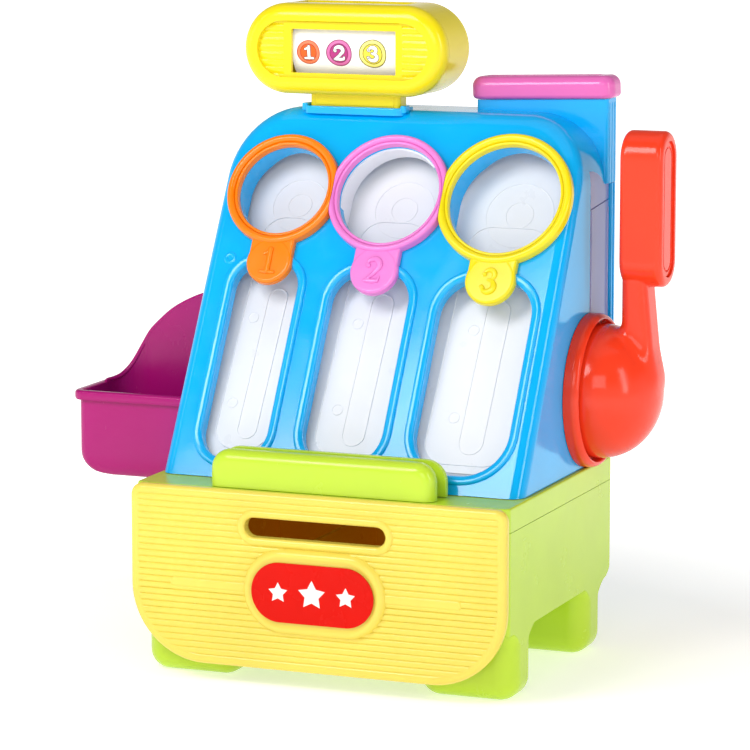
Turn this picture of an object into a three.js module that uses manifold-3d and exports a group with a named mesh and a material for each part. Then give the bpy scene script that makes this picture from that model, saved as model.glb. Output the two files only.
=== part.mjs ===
// Toy cash register with a cash drawer, three coin mouths, a lever, a coin chute and a sign.
// Millimetres. +X is the lever's side, +Y is the back, +Z is up.
// The pieces are drawn from the front plane of the drawer (y = 0) and the middle of the drawer
// (x = 0). The exported group shifts them so that the origin is the bottom centre of the object.

import * as THREE from "three";
import { mergeVertices } from "three/addons/utils/BufferGeometryUtils.js";
import Module from "manifold-3d";

const wasm = await Module();
wasm.setup();

// ---------------------------------------------------------------- driving dimensions

const GAP = 0.3;
const WALL = 2.5;
const DEGREE = Math.PI / 180;

const BASE = { half: 99.3, front: 5.3, back: 164, floor: 35.5, seam: 86.6, top: 98.6, wall: 3, heel: 14 };
const LEG = { inner: 48, fronts: [14, 121], depth: 30, round: 10, hollow: 9 };
const DRAWER = { half: 100, bottom: 9.5, top: 98.7, thick: 5, cornerLow: 39, cornerTop: 6 };
const TRAY = { half: 85.2, back: 150, bottom: 38.7, top: 84, frontTop: 68, dividerTop: 62 };
const BILL_SLOT = { width: 75, height: 10, z: 81, rim: 4 };
const BOSS = { width: 76, height: 43, z: 50, proud: 2.5 };
const LABEL = { width: 65, height: 30, thick: 0.8 };
const CARD_BLOCK = { half: 59.5, front: 6, back: 18, top: 117.5 };
const CARD_PLATE = { half: 60.5, front: 22.3, back: 25.6, top: 116.8, corner: 11 };

const LEAN = 29.5 * DEGREE;
const SHELL = { half: 97, front: 29.1, back: 164, top: 277, corner: 35 };
const COVER = { front: SHELL.back + GAP, back: 168 };
const RINGS = [
  { name: "coin_ring_1", x: -60.7, inner: 24.65, outer: 30.7, tabHalf: 12.4, tabLow: 104.9 },
  { name: "coin_ring_2", x: -2.4, inner: 27.2, outer: 32.6, tabHalf: 12.8, tabLow: 102.1 },
  { name: "coin_ring_3", x: 60.4, inner: 29.5, outer: 35.7, tabHalf: 13.2, tabLow: 100.1 },
];
const RING = { along: 157.25, proud: 6, meetings: [-32.5, 27.5] };
const WINDOWS = [
  { x: -60.9, width: 36, low: 10.3, high: 118, cornerLow: 16, cornerHigh: 14 },
  { x: -2.8, width: 43, low: 10.3, high: 116, cornerLow: 19.5, cornerHigh: 17 },
  { x: 60.0, width: 50, low: 10.3, high: 114.5, cornerLow: 22.5, cornerHigh: 19 },
];
const CHANNEL = { lip: 5.5, tube: 12.5, panelFront: 13.3, panelBack: 15.6, panelLow: 22 };

const TOWER = { left: 27, right: 98.5, front: 153, low: 242, top: 283.3, tilt: 2 * DEGREE };
const CHUTE = { left: 30, right: 94.5, front: 156, back: 163.5 };
const BEZEL = { over: 3, height: 12, round: 4 };
const SIDE_WINDOW = { front: 131, low: 160, high: 251, thick: 2.2 };
const RAMP = { start: [89, 150, 176], end: [-92, 96, 142], width: 20, depth: 8, sheet: 2 };

const BIN = { left: -161, front: 57, back: 113, bottom: 88.5, rim: 133, round: 13, lip: 2.6 };
const BIN_BACK = { shoulder: [-157, 136], peak: [-99.7, 181] };
const BIN_DOOR = { front: 78, back: 108, low: 140, high: 168 };

const SIGN = { x: -34.9, z: 307.95, width: 112.4, height: 46.9, front: 120, seam: 128, back: 163 };
const SIGN_WINDOW = { left: -64, right: -6, low: 295.7, high: 318.2 };
const NECK = { left: -57, right: -7, front: 131, back: 142, low: 272 };
const COLLAR = { left: -59.8, right: -4.2, front: 127, back: 147, top: 278.4 };
const DRUM = { y: 143, z: 308.5, radius: 17, left: -65.2, right: -6 };

const PIVOT = { x: 97, y: 128.7, z: 138.3 };
const FLANGE = { radius: 39.4, bore: 36, depth: 8 };
const HUB = { radius: 34.2, rear: 2.6, straight: 9, dome: 39.4, wall: 3 };
const ARM = { left: 115.5, right: 130.3, half: 10, top: 200 };
const GRIP = { left: 117, right: 139.4, half: 14, low: 193, high: 271.8, round: 3.2 };
const RECESS = { inset: 5, depth: 2.2, hollowInset: 6.5, skin: 3 };
const SHAFT = { radius: 4, inner: 56, outer: 131 };
const CAM = { left: 70, right: 78.5, reach: 14 };

const LATCH = { x: 75, half: 3.5, y: 157, z: 83 };
const LINK = { x: 75, half: 3, front: 141, back: 146, low: 88 };
const GATE = { y: 54, z: 104, tipY: 41.5, tipZ: 106, half: 86 };
const BELL = { x: 38, y: 119, radius: 18, low: 112, height: 9 };
const HAMMER = { y: 146.5, z: 104, length: 12, ball: 4 };
const SCREW = { head: 3.2, headHeight: 1.5, shank: 1.3, hole: 1.7 };

// ---------------------------------------------------------------- materials

function plastic(color, roughness = 0.3) {
  return new THREE.MeshStandardMaterial({ color, roughness, metalness: 0 });
}

const blue = plastic(0x08a8ec);
const green = plastic(0xbfdc3a);
const paleYellow = plastic(0xf6e56a);
const yellow = plastic(0xfbe624);
const orange = plastic(0xf57a14);
const pink = plastic(0xe06cc4);
const magenta = plastic(0xbf2a86);
const red = plastic(0xf4442c);
const white = plastic(0xeceef2, 0.45);
const grey = plastic(0x8f9499, 0.5);
const clear = new THREE.MeshStandardMaterial({
  color: 0xd8e6f0, roughness: 0.1, transparent: true, opacity: 0.4,
});
const steel = new THREE.MeshStandardMaterial({ color: 0xb4b8bc, roughness: 0.3, metalness: 1 });

// ---------------------------------------------------------------- solids

// A three.js shape has split vertices and normals; the result of a cut or join has neither.
function toSolid(geometry) {
  let shared = geometry;
  if (geometry.hasAttribute("normal")) {
    const bare = geometry.clone();
    bare.deleteAttribute("normal");
    bare.deleteAttribute("uv");
    shared = mergeVertices(bare, 1e-4);
  }
  const vertProperties = new Float32Array(shared.attributes.position.array);
  const triVerts = new Uint32Array(shared.index.array);
  return new wasm.Manifold(new wasm.Mesh({ numProp: 3, vertProperties, triVerts }));
}

function toGeometry(solid) {
  const mesh = solid.getMesh();
  const geometry = new THREE.BufferGeometry();
  geometry.setAttribute("position", new THREE.BufferAttribute(mesh.vertProperties, 3));
  geometry.setIndex(new THREE.BufferAttribute(mesh.triVerts, 1));
  return geometry;
}

function join(first, ...others) {
  return toGeometry(others.reduce((sum, other) => sum.add(toSolid(other)), toSolid(first)));
}

function cut(first, ...others) {
  return toGeometry(others.reduce((rest, other) => rest.subtract(toSolid(other)), toSolid(first)));
}

function common(first, ...others) {
  return toGeometry(others.reduce((rest, other) => rest.intersect(toSolid(other)), toSolid(first)));
}

// ---------------------------------------------------------------- outlines and simple shapes

// A rectangle with its own radius at each corner: low left, low right, top right, top left.
function rectangle(left, low, right, high, radii) {
  const [lowLeft, lowRight, highRight, highLeft] = Array.isArray(radii) ? radii : Array(4).fill(radii);
  const shape = new THREE.Shape();
  shape.moveTo(left + lowLeft, low);
  shape.lineTo(right - lowRight, low);
  if (lowRight) shape.absarc(right - lowRight, low + lowRight, lowRight, -Math.PI / 2, 0);
  shape.lineTo(right, high - highRight);
  if (highRight) shape.absarc(right - highRight, high - highRight, highRight, 0, Math.PI / 2);
  shape.lineTo(left + highLeft, high);
  if (highLeft) shape.absarc(left + highLeft, high - highLeft, highLeft, Math.PI / 2, Math.PI);
  shape.lineTo(left, low + lowLeft);
  if (lowLeft) shape.absarc(left + lowLeft, low + lowLeft, lowLeft, Math.PI, Math.PI * 1.5);
  return shape;
}

function stadium(x, y, width, height) {
  const radius = Math.min(width, height) / 2;
  return rectangle(x - width / 2, y - height / 2, x + width / 2, y + height / 2, radius);
}

function circle(x, y, radius) {
  return new THREE.Shape().absarc(x, y, radius, 0, Math.PI * 2);
}

// The same outline as separate points, with no point twice.
function cleaned(shape, curveSegments) {
  const points = shape.getPoints(curveSegments);
  const distinct = points.filter((point, i) => point.distanceTo(points[(i + 1) % points.length]) > 1e-3);
  return new THREE.Shape(distinct);
}

// An outline raised along +Z from low to high, with both rims rounded by the given radius.
function raise(shape, low, high, round = 0, curveSegments = 2) {
  const geometry = new THREE.ExtrudeGeometry(cleaned(shape, curveSegments), {
    depth: high - low - 2 * round,
    bevelEnabled: round > 0,
    bevelThickness: round,
    bevelSize: round,
    bevelOffset: -round,
    bevelSegments: 2,
    curveSegments,
  });
  return geometry.translate(0, 0, low + round);
}

// An outline drawn in X and Z, raised along +Y.
function raiseBack(shape, front, back, round = 0, curveSegments = 2) {
  return raise(shape, -back, -front, round, curveSegments).rotateX(Math.PI / 2);
}

// An outline drawn in Y and Z, raised along +X.
function raiseRight(shape, left, right, round = 0, curveSegments = 2) {
  return raise(shape, left, right, round, curveSegments).applyMatrix4(YZX);
}

const YZX = new THREE.Matrix4().makeBasis(
  new THREE.Vector3(0, 1, 0),
  new THREE.Vector3(0, 0, 1),
  new THREE.Vector3(1, 0, 0),
);

function block(left, right, front, back, low, high) {
  const geometry = new THREE.BoxGeometry(right - left, back - front, high - low);
  return geometry.translate((left + right) / 2, (front + back) / 2, (low + high) / 2);
}

// A round bar between two points.
function rod(from, to, radius, segments = 16) {
  const start = new THREE.Vector3(...from);
  const run = new THREE.Vector3(...to).sub(start);
  const up = new THREE.Vector3(0, 1, 0);
  const turn = new THREE.Quaternion().setFromUnitVectors(up, run.clone().normalize());
  const geometry = new THREE.CylinderGeometry(radius, radius, run.length(), segments);
  geometry.applyQuaternion(turn);
  return geometry.translate(...start.addScaledVector(run, 0.5).toArray());
}

// A profile of [radius, distance along +X] points turned about the X axis.
function turned(profile, segments = 32) {
  const points = profile.map(([radius, along]) => new THREE.Vector2(radius, along));
  return new THREE.LatheGeometry(points, segments).rotateZ(-Math.PI / 2);
}

// The panel's frame: +X across, +Y up the slope from its foot, +Z out of the panel.
const PANEL = new THREE.Matrix4()
  .makeTranslation(0, SHELL.front, BASE.top)
  .multiply(new THREE.Matrix4().makeRotationX(Math.PI / 2 - LEAN));

function onPanel(geometry) {
  return geometry.clone().applyMatrix4(PANEL);
}

// ---------------------------------------------------------------- the object's groups

const register = new THREE.Group();
const drawer = new THREE.Group();
const panel = new THREE.Group();
const lever = new THREE.Group();
panel.applyMatrix4(PANEL);
lever.position.set(PIVOT.x, PIVOT.y, PIVOT.z);
register.add(drawer, panel, lever);

function part(name, geometry, material, parent = register) {
  geometry.computeVertexNormals();
  const mesh = new THREE.Mesh(geometry, material);
  mesh.name = name;
  parent.add(mesh);
  return mesh;
}

// A pan-head screw whose head rests on the given point and whose shank runs along its direction.
function screw(name, point, direction, length) {
  const head = rod([0, -SCREW.headHeight, 0], [0, 0, 0], SCREW.head, 12);
  const shank = rod([0, -0.5, 0], [0, length, 0], SCREW.shank, 8);
  const mesh = part(name, join(head, shank), steel);
  mesh.quaternion.setFromUnitVectors(new THREE.Vector3(0, 1, 0), new THREE.Vector3(...direction));
  mesh.position.set(...point);
}

// ---------------------------------------------------------------- base

const POSTS = [[-91.2, 52], [91.2, 52], [-91.2, 154], [91.2, 154]];

function legOutline(side, front, inset) {
  const inner = LEG.inner + inset;
  const outer = BASE.half - inset;
  const left = side < 0 ? -outer : inner;
  const right = side < 0 ? -inner : outer;
  return rectangle(left, front + inset, right, front + LEG.depth - inset, LEG.round + 0.5 - inset);
}

function baseTub() {
  const outline = rectangle(BASE.front, BASE.floor, BASE.back, BASE.seam - GAP, [0, BASE.heel, 0, 0]);
  let tub = raiseRight(outline, -BASE.half, BASE.half, 0, 3);
  const insideOutline = rectangle(
    BASE.front - 1, BASE.floor + WALL,
    BASE.back - BASE.wall, BASE.seam + 1, [0, BASE.heel - BASE.wall, 0, 0],
  );
  const inside = raiseRight(insideOutline, -BASE.half + BASE.wall, BASE.half - BASE.wall, 0, 3);
  const hollows = [];
  for (const side of [-1, 1]) {
    for (const front of LEG.fronts) {
      tub = join(tub, raise(legOutline(side, front, 0), 0, BASE.floor + LEG.round + 2, LEG.round));
      hollows.push(raise(legOutline(side, front, BASE.wall), LEG.hollow, BASE.floor + LEG.round + 3));
    }
  }
  tub = cut(tub, inside, ...hollows);
  for (const [x, y] of POSTS) {
    tub = join(tub, rod([x, y, BASE.floor + 1], [x, y, BASE.seam - GAP], 5.4, 10));
    tub = cut(tub, rod([x, y, 70], [x, y, BASE.seam + 1], SCREW.hole, 8));
  }
  const latchEars = join(
    block(LATCH.x - 8, LATCH.x - 5, LATCH.y - 4, BASE.back - 1, LATCH.z - 14, BASE.seam - GAP),
    block(LATCH.x + 5, LATCH.x + 8, LATCH.y - 4, BASE.back - 1, LATCH.z - 14, BASE.seam - GAP),
  );
  const pinHole = rod([LATCH.x - 10, LATCH.y, LATCH.z], [LATCH.x + 10, LATCH.y, LATCH.z], 1.9, 12);
  part("base_tub", cut(join(tub, latchEars), pinHole), green);
}

function baseDeck() {
  const outline = rectangle(-BASE.half, BASE.front, BASE.half, BASE.back, 5);
  const inset = rectangle(
    -BASE.half + WALL, BASE.front + WALL,
    BASE.half - WALL, BASE.back - WALL, 3,
  );
  const drops = WINDOWS.map(({ x, width }) =>
    block(x - width / 2 - 2, x + width / 2 + 2, 35, 51, BASE.seam, BASE.top + 1));
  const linkHole = block(LINK.x - 5, LINK.x + 5, LINK.front - 3, LINK.back + 3, BASE.seam, BASE.top + 1);
  const screwHoles = POSTS.map(([x, y]) => rod([x, y, BASE.seam], [x, y, BASE.top + 1], SCREW.hole, 8));
  const deck = cut(
    raise(outline, BASE.seam, BASE.top),
    raise(inset, BASE.seam - 1, BASE.top - WALL),
    ...drops,
    linkHole,
    ...screwHoles,
  );
  part("base_deck", deck, green);
  POSTS.forEach(([x, y], i) => {
    screw(`deck_screw_${i + 1}`, [x, y, BASE.top + GAP], [0, 0, -1], 22);
  });
}

// ---------------------------------------------------------------- drawer

function drawerPieces() {
  const outline = rectangle(-DRAWER.half, DRAWER.bottom, DRAWER.half, DRAWER.top, [
    DRAWER.cornerLow, DRAWER.cornerLow, DRAWER.cornerTop, DRAWER.cornerTop,
  ]);
  const rimWidth = BILL_SLOT.width + 2 * BILL_SLOT.rim;
  const rimHeight = BILL_SLOT.height + 2 * BILL_SLOT.rim;
  const front = cut(
    join(
      raiseBack(outline, 0, DRAWER.thick, 1.2, 3),
      raiseBack(stadium(0, BOSS.z, BOSS.width, BOSS.height), -BOSS.proud, 2, 0.8, 4),
      raiseBack(stadium(0, BILL_SLOT.z, rimWidth, rimHeight), -1, 2, 0.4, 3),
    ),
    raiseBack(stadium(0, BILL_SLOT.z, BILL_SLOT.width, BILL_SLOT.height), -5, 10, 0, 3),
  );
  part("drawer_front", front, paleYellow, drawer);
  const labelFront = -BOSS.proud - GAP - LABEL.thick;
  const labelOutline = stadium(0, BOSS.z, LABEL.width, LABEL.height);
  const label = raiseBack(labelOutline, labelFront, labelFront + LABEL.thick, 0, 4);
  part("drawer_label", label, red, drawer);

  const trayFront = DRAWER.thick + GAP;
  const bays = [-1, 0, 1].map((column) => {
    const pitch = (2 * TRAY.half - WALL) / 3;
    const middle = column * pitch;
    const half = (pitch - WALL) / 2;
    return block(
      middle - half, middle + half, trayFront + WALL, TRAY.back - WALL, TRAY.bottom + WALL, TRAY.top + 1,
    );
  });
  const inner = TRAY.half - WALL;
  const tray = cut(
    block(-TRAY.half, TRAY.half, trayFront, TRAY.back, TRAY.bottom, TRAY.top),
    ...bays,
    block(-inner, inner, trayFront + WALL, TRAY.back - WALL, TRAY.dividerTop, TRAY.top + 1),
    block(-inner, inner, trayFront - 1, trayFront + WALL + 1, TRAY.frontTop, TRAY.top + 1),
    block(LATCH.x - 5.5, LATCH.x + 5.5, TRAY.back - 8, TRAY.back + 1, LATCH.z - 7, TRAY.top + 1),
  );
  part("drawer_tray", tray, paleYellow, drawer);
}

function coil(name, centre, axis, coilRadius, wireRadius, turns, pitch) {
  const stepsPerTurn = 8;
  const points = [];
  for (let i = 0; i <= turns * stepsPerTurn; i++) {
    const angle = (i / stepsPerTurn) * Math.PI * 2;
    const along = (i / stepsPerTurn) * pitch;
    points.push(new THREE.Vector3(coilRadius * Math.cos(angle), coilRadius * Math.sin(angle), along));
  }
  const wire = new THREE.ExtrudeGeometry(circle(0, 0, wireRadius), {
    steps: turns * stepsPerTurn,
    curveSegments: 2,
    extrudePath: new THREE.CatmullRomCurve3(points),
  });
  const mesh = part(name, wire, steel);
  mesh.quaternion.setFromUnitVectors(new THREE.Vector3(0, 0, 1), new THREE.Vector3(...axis));
  mesh.position.set(...centre);
}

// The hook over the tray's back wall. It turns about the latch pin.
function drawerLatch() {
  const { x, half, y, z } = LATCH;
  const outline = new THREE.Shape();
  outline.absarc(y, z, 3.6, -Math.PI / 2, Math.PI / 2);
  outline.lineTo(y - 16, z + 3);
  outline.lineTo(y - 16, z - 6);
  outline.lineTo(y - 12, z - 6);
  outline.lineTo(y - 10.5, z - 2);
  outline.lineTo(y - 4, z - 3.6);
  const hook = cut(
    raiseRight(outline, x - half, x + half, 0, 3),
    rod([x - 10, y, z], [x + 10, y, z], 2, 12),
  );
  part("drawer_latch", hook, grey);
  part("latch_pin", rod([x - 8, y, z], [x + 8, y, z], 1.6, 12), steel);
}

// ---------------------------------------------------------------- card slot on the deck

function cardSlot() {
  const low = BASE.top + GAP;
  const outline = rectangle(-CARD_BLOCK.half, low - 10, CARD_BLOCK.half, CARD_BLOCK.top, 9);
  const hollowHalf = CARD_BLOCK.half - 4;
  const bar = cut(
    raiseBack(outline, CARD_BLOCK.front, CARD_BLOCK.back, 5.5, 2),
    block(-80, 80, 0, 30, low - 15, low),
    block(-hollowHalf, hollowHalf, CARD_BLOCK.front + 3, CARD_BLOCK.back - 3, low - 1, low + 11),
  );
  part("card_slot_block", bar, green);
  const { half, front, back, top, corner } = CARD_PLATE;
  const plate = raiseBack(rectangle(-half, low, half, top, [0, 0, corner, corner]), front, back, 0, 3);
  part("card_slot_plate", plate, green);
}

// ---------------------------------------------------------------- blue shell

// The body's outline from the front, grown or shrunk by the given amount, from y = front to y = back.
function bodyOutline(grow, front, back) {
  const half = SHELL.half + grow;
  const corner = SHELL.corner + grow;
  const outline = rectangle(-half, 60, half, SHELL.top + grow, [0, 0, corner, corner]);
  return raiseBack(outline, front, back, 0, 5);
}

// The body's side profile with the leaning front, moved into the body by the given amount.
function sideProfile(inset, low) {
  const footY = SHELL.front + inset / Math.cos(LEAN) + (low - BASE.top) * Math.tan(LEAN);
  const high = SHELL.top - inset;
  const topY = SHELL.front + inset / Math.cos(LEAN) + (high - BASE.top) * Math.tan(LEAN);
  const ease = 6;
  const profile = new THREE.Shape();
  profile.moveTo(footY, low);
  profile.lineTo(topY - ease * Math.sin(LEAN), high - ease * Math.cos(LEAN));
  profile.quadraticCurveTo(topY, high, topY + ease, high);
  profile.lineTo(SHELL.back + inset, high);
  profile.lineTo(SHELL.back + inset, low);
  return profile;
}

const COVER_SCREWS = [[-87, 112], [87, 112], [-78, 254], [18, 268]];

function windowOutline({ x, width, low, high, cornerLow, cornerHigh }, grow) {
  return rectangle(x - width / 2 - grow, low - grow, x + width / 2 + grow, high + grow, [
    cornerLow + grow, cornerLow + grow, cornerHigh + grow, cornerHigh + grow,
  ]);
}

function frontShell() {
  const low = BASE.top + GAP;
  const outside = common(
    raiseRight(sideProfile(0, low), -SHELL.half, SHELL.half, 0, 3),
    bodyOutline(0, 0, SHELL.back),
  );
  const inside = common(
    raiseRight(sideProfile(WALL, low - 5), -SHELL.half, SHELL.half, 0, 3),
    bodyOutline(-WALL, 0, SHELL.back + 1),
  );
  let shell = cut(outside, inside);

  const collar = rectangle(COLLAR.left, COLLAR.front, COLLAR.right, COLLAR.back, 5);
  shell = join(shell, raise(collar, SHELL.top - WALL, COLLAR.top, 0, 3));
  for (const { x, inner } of RINGS) {
    shell = join(shell, onPanel(raise(circle(x, RING.along, inner + 2), -CHANNEL.tube, -1, 0, 11)));
  }
  for (const opening of WINDOWS) {
    shell = join(shell, onPanel(raise(windowOutline(opening, 2), -CHANNEL.lip, -1)));
  }
  for (const [x, z] of COVER_SCREWS) {
    shell = join(shell, common(
      rod([x, SHELL.back - 12, z], [x, SHELL.back, z], 5, 12),
      bodyOutline(-1, 0, 200),
    ));
    const reach = Math.abs(x) > 80 ? Math.sign(x) * (SHELL.half - Math.abs(x) - 1) : 0;
    const web = reach
      ? block(Math.min(x, x + reach), Math.max(x, x + reach), SHELL.back - 12, SHELL.back, z - 1.5, z + 1.5)
      : block(x - 1.5, x + 1.5, SHELL.back - 12, SHELL.back, z, SHELL.top - 1);
    shell = join(shell, common(web, bodyOutline(-1, 0, 200)));
  }

  const openings = [
    ...RINGS.map(({ x, inner }) => onPanel(raise(circle(x, RING.along, inner), -30, 10, 0, 11))),
    ...WINDOWS.map((opening) => onPanel(raise(windowOutline(opening, 0), -30, 10))),
    ...COVER_SCREWS.map(([x, z]) => rod([x, SHELL.back - 11, z], [x, SHELL.back + 1, z], SCREW.hole, 8)),
    block(NECK.left - 0.5, NECK.right + 0.5, NECK.front - 0.5, NECK.back + 0.5, 260, 290),
    block(CHUTE.left, CHUTE.right, CHUTE.front, CHUTE.back, 236, 290),
    block(SHELL.half - 6, 110, SIDE_WINDOW.front, SHELL.back + 1, SIDE_WINDOW.low, SIDE_WINDOW.high),
    block(-110, -SHELL.half + 6, BIN_DOOR.front, BIN_DOOR.back, BIN_DOOR.low, BIN_DOOR.high),
    rod([90, PIVOT.y, PIVOT.z], [110, PIVOT.y, PIVOT.z], 6.5, 16),
  ];
  part("front_shell", cut(shell, ...openings), blue);
}

function rearCover() {
  const cover = cut(
    common(bodyOutline(0, COVER.front, COVER.back), block(-120, 120, 150, 180, BASE.top + GAP, 300)),
    ...COVER_SCREWS.map(([x, z]) => rod([x, 150, z], [x, 180, z], SCREW.hole, 8)),
  );
  part("rear_cover", cover, blue);
  COVER_SCREWS.forEach(([x, z], i) => {
    screw(`cover_screw_${i + 1}`, [x, COVER.back + GAP, z], [0, -1, 0], 12);
  });
}

function sideWindow() {
  const { front, low, high, thick } = SIDE_WINDOW;
  const pane = common(
    cut(bodyOutline(0, 100, 180), bodyOutline(-thick, 90, 190)),
    block(60, 110, front + GAP, SHELL.back - GAP, low + GAP, high - GAP),
  );
  part("side_window", pane, clear);
}

// ---------------------------------------------------------------- coin mouths, channels and gate

// A numbered trim ring round a coin mouth, with a tab below, trimmed flat where two rings meet.
function coinRings() {
  const materials = [orange, pink, yellow];
  RINGS.forEach(({ name, x, inner, outer, tabHalf, tabLow }, i) => {
    const tabTop = RING.along - inner;
    const tab = rectangle(x + 0.5 - tabHalf, tabLow, x + 0.5 + tabHalf, tabTop, [
      tabHalf, tabHalf, 2, 2,
    ]);
    const left = i === 0 ? -120 : RING.meetings[i - 1] + GAP / 2;
    const right = i === 2 ? 120 : RING.meetings[i] - GAP / 2;
    const ring = cut(
      common(
        join(
          raise(circle(x, RING.along, outer), GAP, RING.proud, 2, 11),
          raise(tab, GAP, RING.proud - 1.2, 1.2, 3),
        ),
        block(left, right, 0, 300, -20, 20),
      ),
      raise(circle(x, RING.along, inner + 0.3), -10, 10, 0, 11),
    );
    part(name, ring, materials[i], panel);
  });
}

function coinBackPanel() {
  const half = SHELL.half - WALL - 2;
  const plate = rectangle(-half, CHANNEL.panelLow, half, 190, [1, 1, 31, 31]);
  const ribs = [-half + 1, ...RING.meetings, half - 1].map((x) =>
    block(x - 1, x + 1, CHANNEL.panelLow, 119, -CHANNEL.panelFront - 1, -CHANNEL.lip - 1));
  const sheet = raise(plate, -CHANNEL.panelBack, -CHANNEL.panelFront, 0, 3);
  part("coin_back_panel", join(sheet, ...ribs), white, panel);
}

// The flap under the coin channels, with its pivot rod behind it.
function coinGate() {
  const { y, z, tipY, tipZ, half } = GATE;
  const flap = new THREE.Shape();
  flap.moveTo(y, z - 1);
  flap.lineTo(y, z + 1);
  flap.lineTo(tipY, tipZ + 1);
  flap.lineTo(tipY, tipZ - 1);
  const pivotRod = rod([-half - 5, y, z], [half + 5, y, z], 2, 12);
  part("coin_gate", join(raiseRight(flap, -half, half), pivotRod), white);
}

// The inner slide that carries a coin from the foot of the chute to the bin.
function coinRamp() {
  const start = new THREE.Vector3(...RAMP.start);
  const end = new THREE.Vector3(...RAMP.end);
  const along = end.clone().sub(start).normalize();
  const across = new THREE.Vector3(0, 0, 1).cross(along).normalize();
  const up = along.clone().cross(across);
  const length = start.distanceTo(end);
  const half = RAMP.width / 2;
  const slide = cut(
    block(0, length, -half, half, -RAMP.sheet, RAMP.depth),
    block(-1, length + 1, -half + RAMP.sheet, half - RAMP.sheet, 0, RAMP.depth + 1),
  );
  const ramp = part("coin_ramp", slide, white);
  ramp.quaternion.setFromRotationMatrix(new THREE.Matrix4().makeBasis(along, across, up));
  ramp.position.copy(start);
}

// ---------------------------------------------------------------- coin tower

// The tower's top plane rises towards the lever's side. Its frame has +Z out of that plane.
const towerTop = new THREE.Group();
towerTop.position.set((TOWER.left + TOWER.right) / 2, (TOWER.front + COVER.back) / 2, TOWER.top);
towerTop.rotation.y = -TOWER.tilt;
towerTop.updateMatrix();
register.add(towerTop);

function coinTower() {
  const mast = rectangle(TOWER.left, TOWER.front, TOWER.right, COVER.back, 2);
  const above = block(-100, 100, -50, 50, 0, 60).applyMatrix4(towerTop.matrix);
  const chute = block(CHUTE.left, CHUTE.right, CHUTE.front, CHUTE.back, 200, 320);
  const tower = cut(
    raise(mast, TOWER.low, TOWER.top + 10, 0, 2),
    above,
    bodyOutline(GAP, 100, 200),
    chute,
  );
  part("coin_tower", tower, blue);
}

function slotBezel() {
  const half = (TOWER.right - TOWER.left) / 2 + BEZEL.over;
  const deep = (COVER.back - TOWER.front) / 2 + BEZEL.over;
  const slotX = (CHUTE.left + CHUTE.right) / 2 - towerTop.position.x;
  const slotY = (CHUTE.front + CHUTE.back) / 2 - towerTop.position.y;
  const slotHalf = (CHUTE.right - CHUTE.left) / 2 - 1;
  const bezel = cut(
    raise(rectangle(-half, -deep, half, deep, 7), GAP, BEZEL.height, BEZEL.round, 2),
    block(slotX - slotHalf, slotX + slotHalf, slotY - 3.2, slotY + 3.2, -5, 20),
  );
  part("slot_bezel", bezel, pink, towerTop);
}

// ---------------------------------------------------------------- coin bin

// The bin seen from the front: a straight rim on the left, or a back that sweeps up to the shell.
function binOutline(inset, high) {
  const left = BIN.left + BIN.lip + inset;
  const right = -BASE.half - GAP - inset;
  const low = BIN.bottom + inset;
  const radius = BIN.round - inset;
  return rectangle(left, low, right, high, [radius, 0, 0, 0]);
}

function binBackOutline() {
  const [shoulderX, shoulderZ] = BIN_BACK.shoulder;
  const [peakX, peakZ] = BIN_BACK.peak;
  const left = BIN.left + BIN.lip;
  const right = -BASE.half - GAP;
  const outline = new THREE.Shape();
  outline.moveTo(left + BIN.round, BIN.bottom);
  outline.lineTo(right, BIN.bottom);
  outline.lineTo(right, peakZ);
  outline.lineTo(peakX, peakZ);
  outline.bezierCurveTo(peakX - 34, peakZ - 10, shoulderX + 24, shoulderZ + 2, shoulderX, shoulderZ);
  outline.lineTo(left, BIN.rim);
  outline.lineTo(left, BIN.bottom + BIN.round);
  outline.absarc(left + BIN.round, BIN.bottom + BIN.round, BIN.round, Math.PI, Math.PI * 1.5);
  return outline;
}

function coinBin() {
  const wall = 2;
  const outside = raiseBack(binOutline(0, BIN.rim), BIN.front + BIN.lip, BIN.back, 0, 3);
  const backWall = raiseBack(binBackOutline(), BIN.back - wall, BIN.back, 0, 4);
  const inner = -BASE.half - GAP;
  const lipOutline = rectangle(BIN.left, BIN.front, inner, BIN.back, [6, 0, 0, 2]);
  const lip = raise(lipOutline, BIN.rim - 5, BIN.rim, 1.2, 2);
  const insideOutline = binOutline(wall, BIN.rim + 1);
  const inside = raiseBack(insideOutline, BIN.front + BIN.lip + wall, BIN.back - wall, 0, 3);
  const reach = -SHELL.half - GAP;
  const sideFlange = block(inner - 1, reach, BIN.front + BIN.lip + 2, BIN.back, BASE.top + 1, BIN.rim - 3);
  const backFlange = block(inner - 1, reach, BIN.back - wall, BIN.back, BASE.top + 1, BIN_BACK.peak[1]);
  part("coin_bin", cut(join(outside, backWall, lip, sideFlange, backFlange), inside), magenta);
}

// ---------------------------------------------------------------- sign

function signOutline(inset) {
  return stadium(SIGN.x, SIGN.z, SIGN.width - 2 * inset, SIGN.height - 2 * inset);
}

const SIGN_SCREWS = [SIGN.x - 43, SIGN.x + 43];

function signBezel() {
  const plateFront = SIGN.front + 2.8;
  const plateBack = plateFront + 2.2;
  const { left, right, low, high } = SIGN_WINDOW;
  const rim = common(
    raiseBack(signOutline(0), SIGN.front, SIGN.back, 7, 5),
    block(-200, 200, 0, SIGN.seam, 200, 400),
  );
  const hollowed = cut(
    rim,
    raiseBack(signOutline(9), SIGN.front - 1, plateFront, 0, 5),
    raiseBack(signOutline(WALL), plateBack, SIGN.seam + 1, 0, 5),
    block(left, right, 100, 140, low, high),
  );
  const posts = SIGN_SCREWS.map((x) => cut(
    rod([x, plateBack - 1, SIGN.z], [x, SIGN.back - WALL - 2, SIGN.z], 4, 12),
    rod([x, SIGN.seam, SIGN.z], [x, SIGN.back, SIGN.z], SCREW.hole, 8),
  ));
  part("sign_bezel", join(hollowed, ...posts), yellow);
}

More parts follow.
